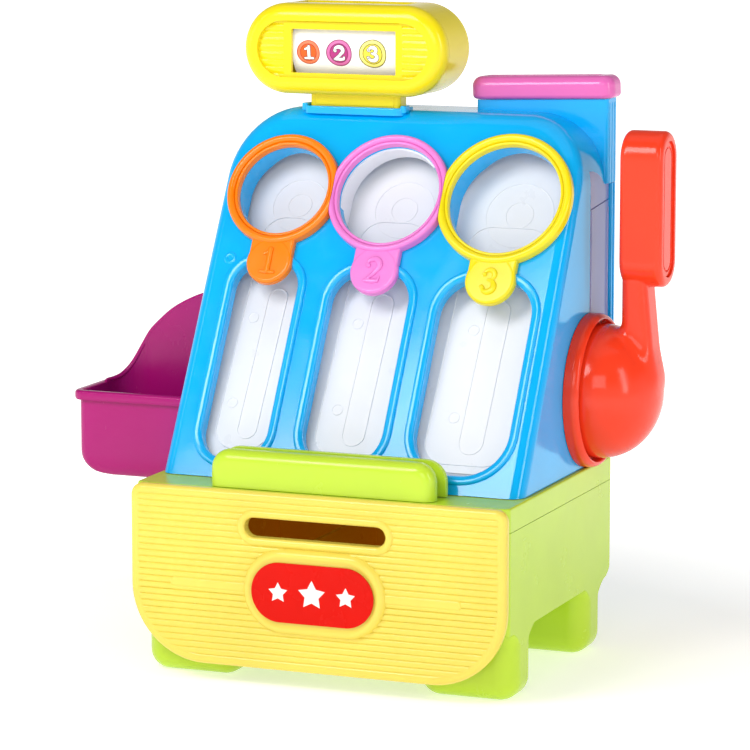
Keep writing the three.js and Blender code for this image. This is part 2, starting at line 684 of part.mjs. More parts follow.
function signBack() {
  const wholeHead = raiseBack(signOutline(0), SIGN.front, SIGN.back, 7, 5);
  const inside = raiseBack(signOutline(WALL), SIGN.front, SIGN.back - WALL, 5, 5);
  const frontPart = block(-200, 200, 0, SIGN.seam + GAP, 200, 400);
  const bearings = [DRUM.left - 6, DRUM.right + 3.5].map((left) => common(
    block(left, left + WALL, SIGN.seam + GAP, SIGN.back - 1, 270, 340),
    raiseBack(signOutline(1), SIGN.front, SIGN.back - 1, 6, 5),
  ));
  const neck = cut(
    block(NECK.left, NECK.right, NECK.front, NECK.back, NECK.low, SIGN.z - SIGN.height / 2 + 2),
    block(NECK.left + WALL, NECK.right - WALL, NECK.front + WALL, NECK.back - WALL, 260, 300),
  );
  const rear = cut(join(cut(wholeHead, inside, frontPart), ...bearings, neck), block(
    NECK.left + WALL, NECK.right - WALL, NECK.front + WALL, NECK.back - WALL, 260, 290,
  ));
  const thumbSlot = block(DRUM.left - 1.5, DRUM.right + 1.5, DRUM.y - 8, DRUM.y + 8, 320, 340);
  const axleHole = rod([-120, DRUM.y, DRUM.z], [80, DRUM.y, DRUM.z], 2.6, 12);
  const keep = block(DRUM.left - 8, DRUM.right + 8, 100, 200, 280, 340);
  const screwHoles = SIGN_SCREWS.map((x) => rod([x, 150, SIGN.z], [x, 180, SIGN.z], SCREW.hole, 8));
  part("sign_back", cut(rear, thumbSlot, common(axleHole, keep), ...screwHoles), yellow);
  SIGN_SCREWS.forEach((x, i) => {
    screw(`sign_screw_${i + 1}`, [x, SIGN.back + GAP, SIGN.z], [0, -1, 0], 14);
  });
}

function signDrum() {
  const { y, z, radius, left, right } = DRUM;
  const drum = cut(
    rod([left, y, z], [right, y, z], radius, 24),
    rod([left - 1, y, z], [left + 6, y, z], radius - 2, 16),
    rod([right - 6, y, z], [right + 1, y, z], radius - 2, 16),
  );
  const hub = rod([left, y, z], [right, y, z], 5, 12);
  const bore = rod([left - 5, y, z], [right + 5, y, z], 2.6, 12);
  part("sign_drum", cut(join(drum, hub), bore), white);
  part("sign_axle", rod([left - 7, y, z], [right + 7, y, z], 2, 12), steel);
}

// ---------------------------------------------------------------- lever

// The fixed ring that the lever's hub turns in, with the outer bearing of the shaft.
function leverFlange() {
  const { radius, bore, depth } = FLANGE;
  const ring = turned([
    [SHAFT.radius + 0.4, GAP],
    [radius, GAP],
    [radius, depth - 3],
    [radius - 1.2, depth - 0.6],
    [radius - 2.2, depth],
    [bore + 0.6, depth - 0.4],
    [bore, depth - 1.5],
    [bore, GAP + 1.6],
    [SHAFT.radius + 0.4, GAP + 1.6],
    [SHAFT.radius + 0.4, GAP],
  ], 28);
  part("lever_flange", ring, red, lever);
}

// Points of the hub's dome, from its straight side to its top on the axis.
function domeProfile(radius, straight, top) {
  const steps = 4;
  return Array.from({ length: steps + 1 }, (_, i) => {
    const angle = (i / steps) * Math.PI / 2;
    return [radius * Math.cos(angle), straight + (top - straight) * Math.sin(angle)];
  });
}

// The grip's outline in Y and Z from the pivot, moved in by a distance.
function gripOutline(inset) {
  return rectangle(
    -GRIP.half + inset, GRIP.low - PIVOT.z + inset,
    GRIP.half - inset, GRIP.high - PIVOT.z - inset,
    GRIP.half - inset,
  );
}

// The hub's dome without its hollow, moved in by a distance.
function domeSolid(inset) {
  const { radius, rear, straight, dome } = HUB;
  const side = domeProfile(radius - inset, straight, dome - inset);
  side[side.length - 1][0] = 0;
  return turned([[0, rear], [radius - inset, rear], ...side], 24);
}

function leverArm() {
  const { rear, dome, wall } = HUB;
  const cap = cut(domeSolid(0), domeSolid(wall));
  const boss = rod([rear, 0, 0], [dome - 2, 0, 0], 8, 16);
  const x = (value) => value - PIVOT.x;
  const armOutline = rectangle(x(ARM.left), -ARM.half, x(ARM.right), ARM.half, 6);
  const arm = cut(raise(armOutline, 14, ARM.top - PIVOT.z, 0, 3), domeSolid(wall));
  const grip = raiseRight(gripOutline(0), x(GRIP.left), x(GRIP.right), GRIP.round, 4);
  const past = x(GRIP.right) + 5;
  const recess = raiseRight(gripOutline(RECESS.inset), x(GRIP.right) - RECESS.depth, past, 0, 4);
  const hollow = raiseRight(gripOutline(RECESS.hollowInset), x(GRIP.left) + RECESS.skin, past, 0, 4);
  const shaftBore = rod([-5, 0, 0], [SHAFT.outer - PIVOT.x + GAP, 0, 0], SHAFT.radius + 0.4, 16);
  part("lever_arm", cut(join(cap, boss, arm, grip), recess, hollow, shaftBore), red, lever);

  const capBack = x(GRIP.right) - RECESS.depth + GAP;
  const gripCap = raiseRight(gripOutline(RECESS.inset + GAP), capBack, x(GRIP.right) - 0.6, 0, 4);
  part("lever_grip_cap", gripCap, red, lever);
}

function leverShaft() {
  const x = (value) => value - PIVOT.x;
  part("lever_shaft", rod([x(SHAFT.inner), 0, 0], [x(SHAFT.outer), 0, 0], SHAFT.radius, 16), steel, lever);
  const camOutline = new THREE.Shape();
  camOutline.absarc(0, 0, 8, Math.PI * 0.15, Math.PI * 1.85);
  camOutline.lineTo(CAM.reach, -1.8);
  camOutline.lineTo(CAM.reach, 1.8);
  const cam = cut(
    raiseRight(camOutline, x(CAM.left), x(CAM.right), 0, 6),
    rod([x(CAM.left) - 5, 0, 0], [x(CAM.right) + 5, 0, 0], SHAFT.radius + 0.3, 16),
  );
  part("lever_cam", cam, grey, lever);
}

// ---------------------------------------------------------------- inner mechanism

// The bracket on the deck with the shaft's inner bearing and the hammer's pin.
function mechanismFrame() {
  const low = BASE.top + GAP;
  const left = 59;
  const upright = rectangle(112, low, 156, PIVOT.z + 13, [0, 0, 12, 12]);
  const frame = cut(
    join(
      raiseRight(upright, left, left + 3),
      block(left, left + 10, 112, 156, low, low + WALL),
      rod([BELL.x - 5, HAMMER.y, HAMMER.z], [left + 1, HAMMER.y, HAMMER.z], 2, 12),
    ),
    rod([left - 5, PIVOT.y, PIVOT.z], [left + 10, PIVOT.y, PIVOT.z], SHAFT.radius + 0.4, 16),
  );
  part("mechanism_frame", frame, grey);
}

// The pull rod that the cam lifts to free the latch, hooked over the cam's finger.
function latchLink() {
  const top = PIVOT.z + 1.8 + 2.8;
  const bar = block(LINK.x - LINK.half, LINK.x + LINK.half, LINK.back - 2, LINK.back, LINK.low, top + 2.5);
  const hook = block(LINK.x - LINK.half, LINK.x + LINK.half, LINK.front - 5, LINK.back, top, top + 2.5);
  part("latch_link", join(bar, hook), grey);
}

function bell() {
  const { x, y, radius, low, height } = BELL;
  const gong = new THREE.LatheGeometry([
    new THREE.Vector2(2.2, height),
    new THREE.Vector2(radius * 0.7, height * 0.8),
    new THREE.Vector2(radius * 0.93, height * 0.45),
    new THREE.Vector2(radius, 0),
    new THREE.Vector2(radius - 1.2, 0),
    new THREE.Vector2(radius * 0.93 - 1.2, height * 0.45 - 0.6),
    new THREE.Vector2(radius * 0.7 - 0.6, height * 0.8 - 1.2),
    new THREE.Vector2(2.2, height - 1.2),
    new THREE.Vector2(2.2, height),
  ].reverse(), 20);
  const bellGong = part("bell_gong", gong.rotateX(Math.PI / 2), steel);
  bellGong.position.set(x, y, low);

  const foot = BASE.top + GAP;
  const top = low + height;
  const post = join(
    rod([x, y, foot], [x, y, foot + 2], 6, 16),
    rod([x, y, foot], [x, y, top - 1.2 - GAP], 3.2, 12),
    rod([x, y, foot], [x, y, top + GAP + 1], 1.8, 12),
    rod([x, y, top + GAP], [x, y, top + GAP + 2], 4, 12),
  );
  part("bell_post", post, grey);

  const ballZ = HAMMER.z + HAMMER.length;
  const ball = new THREE.SphereGeometry(HAMMER.ball, 10, 6).translate(x, HAMMER.y, ballZ);
  const hammer = cut(
    join(
      rod([x - 3, HAMMER.y, HAMMER.z], [x + 3, HAMMER.y, HAMMER.z], 4.4, 14),
      block(x - 1.5, x + 1.5, HAMMER.y - 1.5, HAMMER.y + 1.5, HAMMER.z + 2, ballZ),
      ball,
    ),
    rod([x - 5, HAMMER.y, HAMMER.z], [x + 5, HAMMER.y, HAMMER.z], 2.4, 12),
  );
  part("bell_hammer", hammer, grey);
}

// ---------------------------------------------------------------- assembly

baseTub();
baseDeck();
drawerPieces();
drawerLatch();
cardSlot();
frontShell();
rearCover();
sideWindow();
coinRings();
coinBackPanel();
coinGate();
coinRamp();
coinTower();
slotBezel();
coinBin();
signBezel();
signBack();
signDrum();
leverFlange();
leverArm();
leverShaft();
mechanismFrame();
latchLink();
bell();
coil("drawer_spring", [0, TRAY.back + 1.5, 62], [0, 1, 0], 6, 0.8, 4, 2);
coil("lever_return_spring", [81.5, PIVOT.y, PIVOT.z], [1, 0, 0], 7, 0.9, 5, 2.2);

register.updateMatrixWorld(true);
const bounds = new THREE.Box3().setFromObject(register, true);
const middle = bounds.getCenter(new THREE.Vector3());
register.position.set(-middle.x, -middle.y, -bounds.min.z);

export default register;
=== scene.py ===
import math
import bmesh
import bpy
import numpy as np
from mathutils import Matrix, Vector


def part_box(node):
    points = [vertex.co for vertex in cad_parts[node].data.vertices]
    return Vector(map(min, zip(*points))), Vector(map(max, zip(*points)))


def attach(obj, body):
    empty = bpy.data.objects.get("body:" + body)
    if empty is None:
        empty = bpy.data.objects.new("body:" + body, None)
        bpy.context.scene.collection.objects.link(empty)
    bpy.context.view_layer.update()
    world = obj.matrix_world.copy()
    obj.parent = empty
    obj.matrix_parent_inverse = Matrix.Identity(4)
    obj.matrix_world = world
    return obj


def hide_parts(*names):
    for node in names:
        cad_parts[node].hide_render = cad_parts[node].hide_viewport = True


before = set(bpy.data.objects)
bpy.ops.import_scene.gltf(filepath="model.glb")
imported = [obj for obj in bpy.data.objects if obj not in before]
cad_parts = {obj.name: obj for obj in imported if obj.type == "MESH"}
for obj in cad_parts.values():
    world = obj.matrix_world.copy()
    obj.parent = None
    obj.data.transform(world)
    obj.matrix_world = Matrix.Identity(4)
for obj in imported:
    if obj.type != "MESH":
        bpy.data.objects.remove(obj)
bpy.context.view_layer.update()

# Lengths are millimetres, measured from the middle of the drawer's front plane at floor height:
# +X towards the lever, +Y towards the back, +Z up. PLACE takes them to the frame's metres.
BOSS_PROUD = 2.5
MM = 0.001
drawer_low, drawer_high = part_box("drawer_front")
ORIGIN = Vector(((drawer_low[0] + drawer_high[0]) / 2, drawer_low[1] + BOSS_PROUD * MM, 0))
PLACE = Matrix.Translation(ORIGIN) @ Matrix.Scale(MM, 4)


# ---- driving dimensions

LEAN = math.radians(29.5)
PANEL_FOOT = (29.1, 98.6)
SHELL = {"half": 97, "low": 98.9, "back": 164, "top": 277, "corner": 35, "wall": 2.5, "edge": 7}
RINGS = [
    {"x": -60.7, "inner": 24.65, "outer": 30.7, "tab": 12.4, "tab_low": 104.9},
    {"x": -2.4, "inner": 27.2, "outer": 32.6, "tab": 12.8, "tab_low": 102.1},
    {"x": 60.4, "inner": 29.5, "outer": 35.7, "tab": 13.2, "tab_low": 100.1},
]
RING_ALONG = 157.25
RING_MEETINGS = [-120, -32.5, 27.5, 120]
WINDOWS = [
    {"x": -60.9, "width": 36, "low": 10.3, "high": 118, "corner_low": 16, "corner_high": 14},
    {"x": -2.8, "width": 43, "low": 10.3, "high": 116, "corner_low": 19.5, "corner_high": 17},
    {"x": 60.0, "width": 50, "low": 10.3, "high": 114.5, "corner_low": 22.5, "corner_high": 19},
]
BASE = {"half": 99.3, "front": 5.3, "back": 164, "floor": 35.5, "seam": 86.6, "top": 98.6, "heel": 14}
LEG = {"inner": 48, "fronts": [14, 121], "depth": 30, "round": 10}
DRAWER = {"half": 100, "bottom": 9.5, "top": 98.7, "thick": 5, "border": 5.2}
PIVOT = (97, 128.7, 138.3)
CHUTE = (30, 94.5, 156, 163.5)
TOWER_LOW = 241.3


# ---- solids as (vertices, faces)

def arc(x, y, radius, start, end, steps):
    """Points along an arc; the angles are in degrees."""
    angles = np.radians(np.linspace(start, end, steps + 1))
    return np.stack([x + radius * np.cos(angles), y + radius * np.sin(angles)], 1)


def rectangle(left, low, right, high, radii, steps=10):
    """A rectangle's outline with its own radius at each corner, from the low left one round."""
    radii = radii if isinstance(radii, (list, tuple)) else [radii] * 4
    low_left, low_right, high_right, high_left = radii
    corners = [
        (left + low_left, low + low_left, low_left, 180),
        (right - low_right, low + low_right, low_right, 270),
        (right - high_right, high - high_right, high_right, 0),
        (left + high_left, high - high_left, high_left, 90),
    ]
    return np.concatenate([
        arc(x, y, radius, start, start + 90, steps) if radius > 0 else np.array([[x, y]])
        for x, y, radius, start in corners
    ])


def rounded(left, low, right, high, radii, steps=10):
    """The same outline as a function of how far it is moved inwards."""
    radii = radii if isinstance(radii, (list, tuple)) else [radii] * 4

    def outline(inset=0.0):
        inner = [max(radius - inset, 0.02) if radius > 0 else 0 for radius in radii]
        return rectangle(left + inset, low + inset, right - inset, high - inset, inner, steps)
    return outline


def fixed(points):
    """An outline that stays as it is, however far it is moved inwards."""
    return lambda inset=0.0: points


def stadium(x, y, width, height, steps=16):
    half, tall = width / 2, height / 2
    return rounded(x - half, y - tall, x + half, y + tall, min(width, height) / 2, steps)


def disc(x, y, radius, steps=96):
    return lambda inset=0.0: arc(x, y, radius - inset, 0, 360 - 360 / steps, steps - 1)


def loft(rings, loop=False):
    """Quads between outlines of equal count. Unless it closes on itself, both ends are capped."""
    count = len(rings[0])
    assert all(len(ring) == count for ring in rings), "a loft's outlines have equal counts"
    verts = np.concatenate([np.asarray(ring, float) for ring in rings])
    faces = []
    pairs = len(rings) if loop else len(rings) - 1
    for k in range(pairs):
        a, b = k * count, ((k + 1) % len(rings)) * count
        for i in range(count):
            j = (i + 1) % count
            faces.append((a + i, a + j, b + j, b + i))
    if not loop:
        faces.append(tuple(range(count))[::-1])
        faces.append(tuple(range((len(rings) - 1) * count, len(rings) * count)))
    return verts, faces


def at_height(outline, height):
    return np.column_stack([outline, np.full(len(outline), height)])


def quarter(radius, steps=6):
    """(inset, height) pairs of a rounded rim, from the flat face out to the side."""
    angles = np.radians(np.linspace(0, 90, steps + 1))
    return [(radius * (1 - math.sin(a)), radius * (1 - math.cos(a))) for a in angles]


def prism(outline, low, high, round_low=0.0, round_high=0.0, steps=6):
    """An outline raised along +Z, with its two rims rounded."""
    first = quarter(round_low, steps) if round_low else [(0, 0)]
    last = quarter(round_high, steps) if round_high else [(0, 0)]
    levels = [(inset, low + rise) for inset, rise in first]
    levels += [(inset, high - rise) for inset, rise in reversed(last)]
    return loft([at_height(outline(inset), height) for inset, height in levels])


def band(outline, profile):
    """A closed ring whose section is a closed profile of (inset, height) points."""
    return loft([at_height(outline(inset), height) for inset, height in profile], loop=True)


def turn(matrix, solid):
    verts, faces = solid
    rows = np.array(matrix)
    return verts @ rows[:3, :3].T + rows[:3, 3], faces


def axes(first, second, third, at=(0, 0, 0)):
    """The matrix that takes the three unit directions to these and the origin to a point."""
    return Matrix((
        (first[0], second[0], third[0], at[0]),
        (first[1], second[1], third[1], at[1]),
        (first[2], second[2], third[2], at[2]),
        (0, 0, 0, 1),
    ))


# Outlines drawn in X and Z and raised along +Y; in Y and Z and raised along +X; on the leaning panel.
FACING = axes((1, 0, 0), (0, 0, 1), (0, 1, 0))
SIDEWAYS = axes((0, 1, 0), (0, 0, 1), (1, 0, 0))
PANEL = axes((1, 0, 0), (0, math.sin(LEAN), math.cos(LEAN)), (0, -math.cos(LEAN), math.sin(LEAN)),
             (0, *PANEL_FOOT))


def block(left, right, front, back, low, high):
    return prism(fixed(rectangle(left, front, right, back, 0)), low, high)


def lathe(profile, segments=96):
    """A closed profile of (radius, distance along +X) points turned about the X axis."""
    angles = np.radians(np.arange(segments) * 360 / segments)
    rings = [
        np.array([(along, radius * math.cos(a), radius * math.sin(a)) for radius, along in profile])
        for a in angles
    ]
    return loft(rings, loop=True)


def tube(path, radius, sides=12, closed=False):
    """A round bar along a list of points."""
    points = np.asarray(path, float)
    radii = np.broadcast_to(np.asarray(radius, float), len(points))
    if closed:
        ahead, behind = np.roll(points, -1, 0), np.roll(points, 1, 0)
    else:
        ahead = np.vstack([points[1:], points[-1:]])
        behind = np.vstack([points[:1], points[:-1]])
    tangents = ahead - behind
    tangents /= np.linalg.norm(tangents, axis=1)[:, None]
    up = np.eye(3)[np.argmin(np.abs(tangents[0]))]
    rings = []
    for point, tangent, size in zip(points, tangents, radii):
        up = up - tangent * (up @ tangent)
        up /= np.linalg.norm(up)
        side = np.cross(tangent, up)
        circle = arc(0, 0, size, 0, 360 - 360 / sides, sides - 1)
        rings.append(point + circle[:, :1] * up + circle[:, 1:] * side)
    return loft(rings, loop=closed)


def merge(*solids):
    verts, faces, start = [], [], 0
    for v, f in solids:
        verts.append(v)
        faces += [tuple(i + start for i in face) for face in f]
        start += len(v)
    return np.concatenate(verts), faces


# ---- joins and cuts

def add_object(name, data):
    made = bpy.data.objects.new(name, data)
    bpy.context.scene.collection.objects.link(made)
    return made


def raw_mesh(solid, name):
    mesh = bpy.data.meshes.new(name)
    mesh.from_pydata([tuple(v) for v in solid[0]], [], solid[1])
    return mesh


def to_mesh(solid, name="draft"):
    """A clean mesh: no double points, no empty faces, and normals that point outwards."""
    mesh = raw_mesh(solid, name)
    clean = bmesh.new()
    clean.from_mesh(mesh)
    bmesh.ops.remove_doubles(clean, verts=clean.verts, dist=1e-4)
    bmesh.ops.dissolve_degenerate(clean, edges=clean.edges, dist=1e-4)
    bmesh.ops.recalc_face_normals(clean, faces=clean.faces)
    clean.to_mesh(mesh)
    clean.free()
    return mesh


def to_solid(mesh):
    verts = np.empty(len(mesh.vertices) * 3)
    mesh.vertices.foreach_get("co", verts)
    return verts.reshape(-1, 3), [tuple(p.vertices) for p in mesh.polygons]


def combine(operation, first, others):
    """One solid joined with, cut by or kept inside the others, with exact edges."""
    base = add_object("base", to_mesh(first))
    helpers = [add_object("helper", to_mesh(other)) for other in others]
    for helper in helpers:
        step = base.modifiers.new("step", "BOOLEAN")
        step.operation = operation
        step.solver = "MANIFOLD"
        step.object = helper
    evaluated = base.evaluated_get(bpy.context.evaluated_depsgraph_get())
    result = to_solid(evaluated.to_mesh())
    evaluated.to_mesh_clear()
    for item in [base, *helpers]:
        mesh = item.data
        bpy.data.objects.remove(item)
        bpy.data.meshes.remove(mesh)
    return result


def cut(first, *others):
    return combine("DIFFERENCE", first, others)


def join(first, *others):
    return combine("UNION", first, others)


def common(first, *others):
    return combine("INTERSECT", first, others)


# ---- surfaces from a distance field

def smooth_min(a, b, reach):
    """The smaller of two distances, with a fillet of about that reach where they meet."""
    near = np.maximum(reach - np.abs(a - b), 0) / reach
    return np.minimum(a, b) - near * near * reach / 4


def smooth_max(a, b, reach):
    return -smooth_min(-a, -b, reach)


def surface(distance, low, high, step):
    """The closed surface where distance(points) is 0, as quads, between two corners."""
    ticks = [np.arange(a - 2 * step, b + 3 * step, step) for a, b in zip(low, high)]
    grid = np.stack(np.meshgrid(*ticks, indexing="ij"), -1)
    inside = (distance(grid.reshape(-1, 3)) < 0).reshape(grid.shape[:3])
    corner_sum = sum(
        inside[i:inside.shape[0] - 1 + i, j:inside.shape[1] - 1 + j, k:inside.shape[2] - 1 + k].astype(int)
        for i in (0, 1) for j in (0, 1) for k in (0, 1)
    )
    mixed = (corner_sum > 0) & (corner_sum < 8)
    index = -np.ones(mixed.shape, int)
    index[mixed] = np.arange(mixed.sum())
    points = grid[:-1, :-1, :-1][mixed] + step / 2
    faces = []
    for axis in range(3):
        swap = np.moveaxis(inside, axis, 0)
        cells = np.moveaxis(index, axis, 0)
        change = swap[:-1, 1:-1, 1:-1] != swap[1:, 1:-1, 1:-1]
        quads = np.stack([
            cells[:, :-1, :-1][change], cells[:, 1:, :-1][change],
            cells[:, 1:, 1:][change], cells[:, :-1, 1:][change],
        ], 1)
        faces.append(quads)
    faces = np.concatenate(faces)

    def settle(at, rounds):
        for _ in range(rounds):
            value = distance(at)
            slope = np.stack([
                (distance(at + delta) - distance(at - delta)) / (0.02 * step)
                for delta in np.eye(3) * 0.01 * step
            ], 1)
            pull = value[:, None] * slope / np.maximum((slope ** 2).sum(1), 0.2)[:, None]
            length = np.linalg.norm(pull, axis=1)[:, None]
            at = at - pull * np.minimum(1, step / np.maximum(length, 1e-9))
        return at

    points = settle(points, 2)
    for _ in range(4):
        total = np.zeros_like(points)
        count = np.zeros(len(points))
        for i in range(4):
            np.add.at(total, faces[:, i], points[faces[:, (i + 1) % 4]] + points[faces[:, (i + 3) % 4]])
            np.add.at(count, faces[:, i], 2)
        points = settle(points * 0.5 + total / count[:, None] * 0.5, 1)
    points = settle(points, 2)
    return points, [tuple(int(i) for i in face) for face in faces]


# ---- materials

FLOW_MARKS = 0.04


def new_look(name):
    """A material, its node tree, its shader and the object's coordinates in metres."""
    material = bpy.data.materials.new(name)
    material.use_nodes = True
    tree = material.node_tree
    place = tree.nodes.new("ShaderNodeTexCoord").outputs["Object"]
    return material, tree, tree.nodes["Principled BSDF"], place


def set_inputs(node, values):
    for socket, value in values.items():
        node.inputs[socket].default_value = value


def noise(tree, place, scale, detail=2.0, stretch=None):
    """A noise texture's value over the object, with an optional stretch."""
    if stretch:
        mapping = tree.nodes.new("ShaderNodeMapping")
        set_inputs(mapping, {"Scale": stretch})
        tree.links.new(place, mapping.inputs["Vector"])
        place = mapping.outputs["Vector"]
    texture = tree.nodes.new("ShaderNodeTexNoise")
    set_inputs(texture, {"Scale": scale, "Detail": detail})
    tree.links.new(place, texture.inputs["Vector"])
    return texture.outputs["Fac"]


def remap(tree, value, low, high, source_low=0.3, source_high=0.7):
    """A value taken from one range to another. Noise stays mostly between 0.3 and 0.7."""
    spread = tree.nodes.new("ShaderNodeMapRange")
    set_inputs(spread, {"From Min": source_low, "From Max": source_high, "To Min": low, "To Max": high})
    tree.links.new(value, spread.inputs["Value"])
    return spread.outputs["Result"]


def mixed(tree, share, first, second):
    """A colour between two, by a share from 0 to 1."""
    mix = tree.nodes.new("ShaderNodeMix")
    mix.data_type = "RGBA"
    set_inputs(mix, {"A": (*first, 1), "B": (*second, 1)})
    tree.links.new(share, mix.inputs["Factor"])
    return mix.outputs["Result"]


def bump(tree, height, strength, distance, under=None):
    """A surface raised by a height, on top of another bump where one is given."""
    node = tree.nodes.new("ShaderNodeBump")
    set_inputs(node, {"Strength": strength, "Distance": distance})
    tree.links.new(height, node.inputs["Height"])
    if under is not None:
        tree.links.new(under, node.inputs["Normal"])
    return node.outputs["Normal"]


def plastic(name, color, roughness=0.2, grain=0.2, specular=0.4, glow=None):
    """Moulded plastic: faint flow marks in its colour, uneven gloss, fine skin texture and scuffs.

    A glow is a little light of its own, where these lamps leave the plastic too dark.
    """
    material, tree, shader, place = new_look(name)
    flow = remap(tree, noise(tree, place, 22, 3), 0, 1)
    darker = [c * (1 - FLOW_MARKS) for c in color]
    lighter = [min(1, c * (1 + FLOW_MARKS)) for c in color]
    tree.links.new(mixed(tree, flow, darker, lighter), shader.inputs["Base Color"])

    smudges = remap(tree, noise(tree, place, 60, 4), roughness - 0.04, roughness + 0.06)
    scuffs = remap(tree, noise(tree, place, 700, 2, (1, 0.08, 0.35)), 0, 0.03, 0.62, 0.78)
    total = tree.nodes.new("ShaderNodeMath")
    total.operation = "ADD"
    tree.links.new(smudges, total.inputs[0])
    tree.links.new(scuffs, total.inputs[1])
    tree.links.new(total.outputs["Value"], shader.inputs["Roughness"])

    ripple = bump(tree, noise(tree, place, 90, 1), grain * 0.12, 0.0004)
    skin = bump(tree, noise(tree, place, 2600, 2), grain, 0.00004, ripple)
    tree.links.new(skin, shader.inputs["Normal"])
    set_inputs(shader, {"IOR": 1.5, "Specular IOR Level": specular})
    if glow:
        set_inputs(shader, {"Emission Color": (*glow, 1), "Emission Strength": 1.0})
    return material


def steel_material():
    """Zinc-plated steel: drawn streaks, faint mottling and a soft shine."""
    material, tree, shader, place = new_look("zinc_steel")
    streaks = noise(tree, place, 700, 3, (0.1, 1, 1))
    mottle = remap(tree, noise(tree, place, 90, 3), 0, 1)
    color = mixed(tree, mottle, (0.50, 0.52, 0.54), (0.72, 0.73, 0.74))
    tree.links.new(color, shader.inputs["Base Color"])
    tree.links.new(remap(tree, streaks, 0.22, 0.42), shader.inputs["Roughness"])
    set_inputs(shader, {"Metallic": 1.0})
    return material


def clear_material():
    """Clear polystyrene with a faint blue cast and moulding swirls."""
    material, tree, shader, place = new_look("clear_plastic")
    swirl = noise(tree, place, 45, 3)
    tree.links.new(remap(tree, swirl, 0.01, 0.04), shader.inputs["Roughness"])
    tree.links.new(bump(tree, swirl, 0.05, 0.0005), shader.inputs["Normal"])
    set_inputs(shader, {"Base Color": (0.38, 0.44, 0.78, 1), "IOR": 1.6, "Alpha": 0.62})
    return material


BLUE = plastic("blue_abs", (0.0, 0.40, 0.84), 0.1, specular=0.44)
GREEN = plastic("green_abs", (0.50, 0.70, 0.035), 0.22)
DRAWER_YELLOW = plastic("drawer_yellow_abs", (0.80, 0.645, 0.10), 0.2)
SIGN_YELLOW = plastic("sign_yellow_abs", (0.80, 0.65, 0.005), 0.18)
# The tray's glow is painted light: a faint orange light of its own in place of light through the thin yellow
# plastic, so the shaded inside of the drawer slot looks brown.
TRAY_YELLOW = plastic("tray_yellow_abs", (0.84, 0.62, 0.06), 0.3, glow=(0.05, 0.013, 0.0))
ORANGE = plastic("orange_abs", (0.86, 0.20, 0.0), 0.18)
PINK = plastic("pink_abs", (0.76, 0.20, 0.58), 0.13)
BEZEL_PINK = plastic("bezel_pink_abs", (0.68, 0.13, 0.42), 0.12)
MAGENTA = plastic("magenta_abs", (0.38, 0.004, 0.15), 0.22, specular=0.3)
RED = plastic("red_abs", (0.86, 0.045, 0.012), 0.15, specular=0.34)
WHITE = plastic("white_abs", (0.79, 0.80, 0.84), 0.3)
GREY = plastic("grey_acetal", (0.30, 0.31, 0.32), 0.4)
PRINT_RED = plastic("label_red_ink", (0.66, 0.004, 0.0), 0.25, grain=0.1, specular=0.12)
PRINT_WHITE = plastic("label_white_ink", (0.85, 0.85, 0.84), 0.3, grain=0.1)
PRINT_DARK = plastic("drum_dark_ink", (0.05, 0.012, 0.02), 0.35, grain=0.1)
# The drum's glow is painted light: it lifts the shade where the drum curves away behind the sign's window.
DRUM_WHITE = plastic("drum_white_ink", (0.8, 0.8, 0.78), 0.35, grain=0.1, glow=(0.2, 0.2, 0.2))
STEEL = steel_material()
CLEAR = clear_material()


# ---- pieces

def add_piece(name, mesh, material, body):
    """Puts a mesh in millimetres on its body, smooth and in its material."""
    mesh.transform(PLACE)
    for face in mesh.polygons:
        face.use_smooth = True
    mesh.materials.append(material)
    made = add_object(name, mesh)
    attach(made, body)
    return made


def piece(name, solid, material, node=None, body="housing", angle=38, place=None):
    """Makes one piece from a solid, which stands for a CAD node if one is named."""
    if place is not None:
        solid = turn(place, solid)
    made = add_piece(name, to_mesh(solid, name), material, body)
    made.data.set_sharp_from_angle(angle=math.radians(angle))
    weigh = made.modifiers.new("weigh", "WEIGHTED_NORMAL")
    weigh.keep_sharp = True
    weigh.weight = 90
    if node:
        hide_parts(node)


def paint(target, material):
    """Gives a carried-over CAD node its material."""
    if not target.material_slots:
        target.data.materials.append(material)
    for entry in target.material_slots:
        entry.link = "OBJECT"
        entry.material = material


# ---- camera, light and floor

CAMERA = {"place": (687.6, -1622.7, 442.4), "target": (8.0, 60.0, 150.7), "lens": 176.1, "sensor": 36}
# In metres: name, place, what it points at, size, watts, and its turn about its own axis in degrees.
LAMPS = [
    ("front", (0.75, -2.2, 1.15), (0.0, 0.0, 0.16), (1.2, 0.9), 10.0, 0),
    ("panel_box", (-0.259, -0.707, 0.760), (-0.047, 0.127, 0.252), (0.5, 0.3), 4.9, 45),
    ("left_strip", (-1.3, -0.7, 0.7), (0.0, 0.0, 0.16), (0.2, 1.0), 1.4, 0),
    ("right_strip", (1.5, -0.45, 0.7), (0.0, 0.0, 0.16), (0.3, 1.0), 5.0, 0),
    ("top", (0.1, 0.1, 1.6), (0.0, 0.0, 0.1), (1.2, 1.2), 2.0, 0),
]
SKY_HORIZON = 1.0
SKY_ABOVE = 0.2
PAPER_GLOW_NEAR = 0.46
PAPER_GLOW_FAR = 1.0
PAPER_HALF = 30.0


def aim(item, target):
    item.rotation_euler = (Vector(target) - item.location).to_track_quat("-Z", "Y").to_euler()


def studio():
    camera = add_object("camera", bpy.data.cameras.new("camera"))
    camera.data.lens = CAMERA["lens"]
    camera.data.sensor_width = CAMERA["sensor"]
    camera.data.clip_end = 50
    camera.location = PLACE @ Vector(CAMERA["place"])
    aim(camera, PLACE @ Vector(CAMERA["target"]))
    bpy.context.scene.camera = camera
    bpy.context.scene.view_settings.view_transform = "Standard"

    for name, location, target, size, power, roll in LAMPS:
        lamp = bpy.data.lights.new(name, "AREA")
        lamp.shape = "RECTANGLE"
        lamp.size, lamp.size_y = size
        lamp.energy = power
        item = add_object(name, lamp)
        item.location = location
        aim(item, target)
        item.rotation_euler.rotate_axis("Z", math.radians(roll))


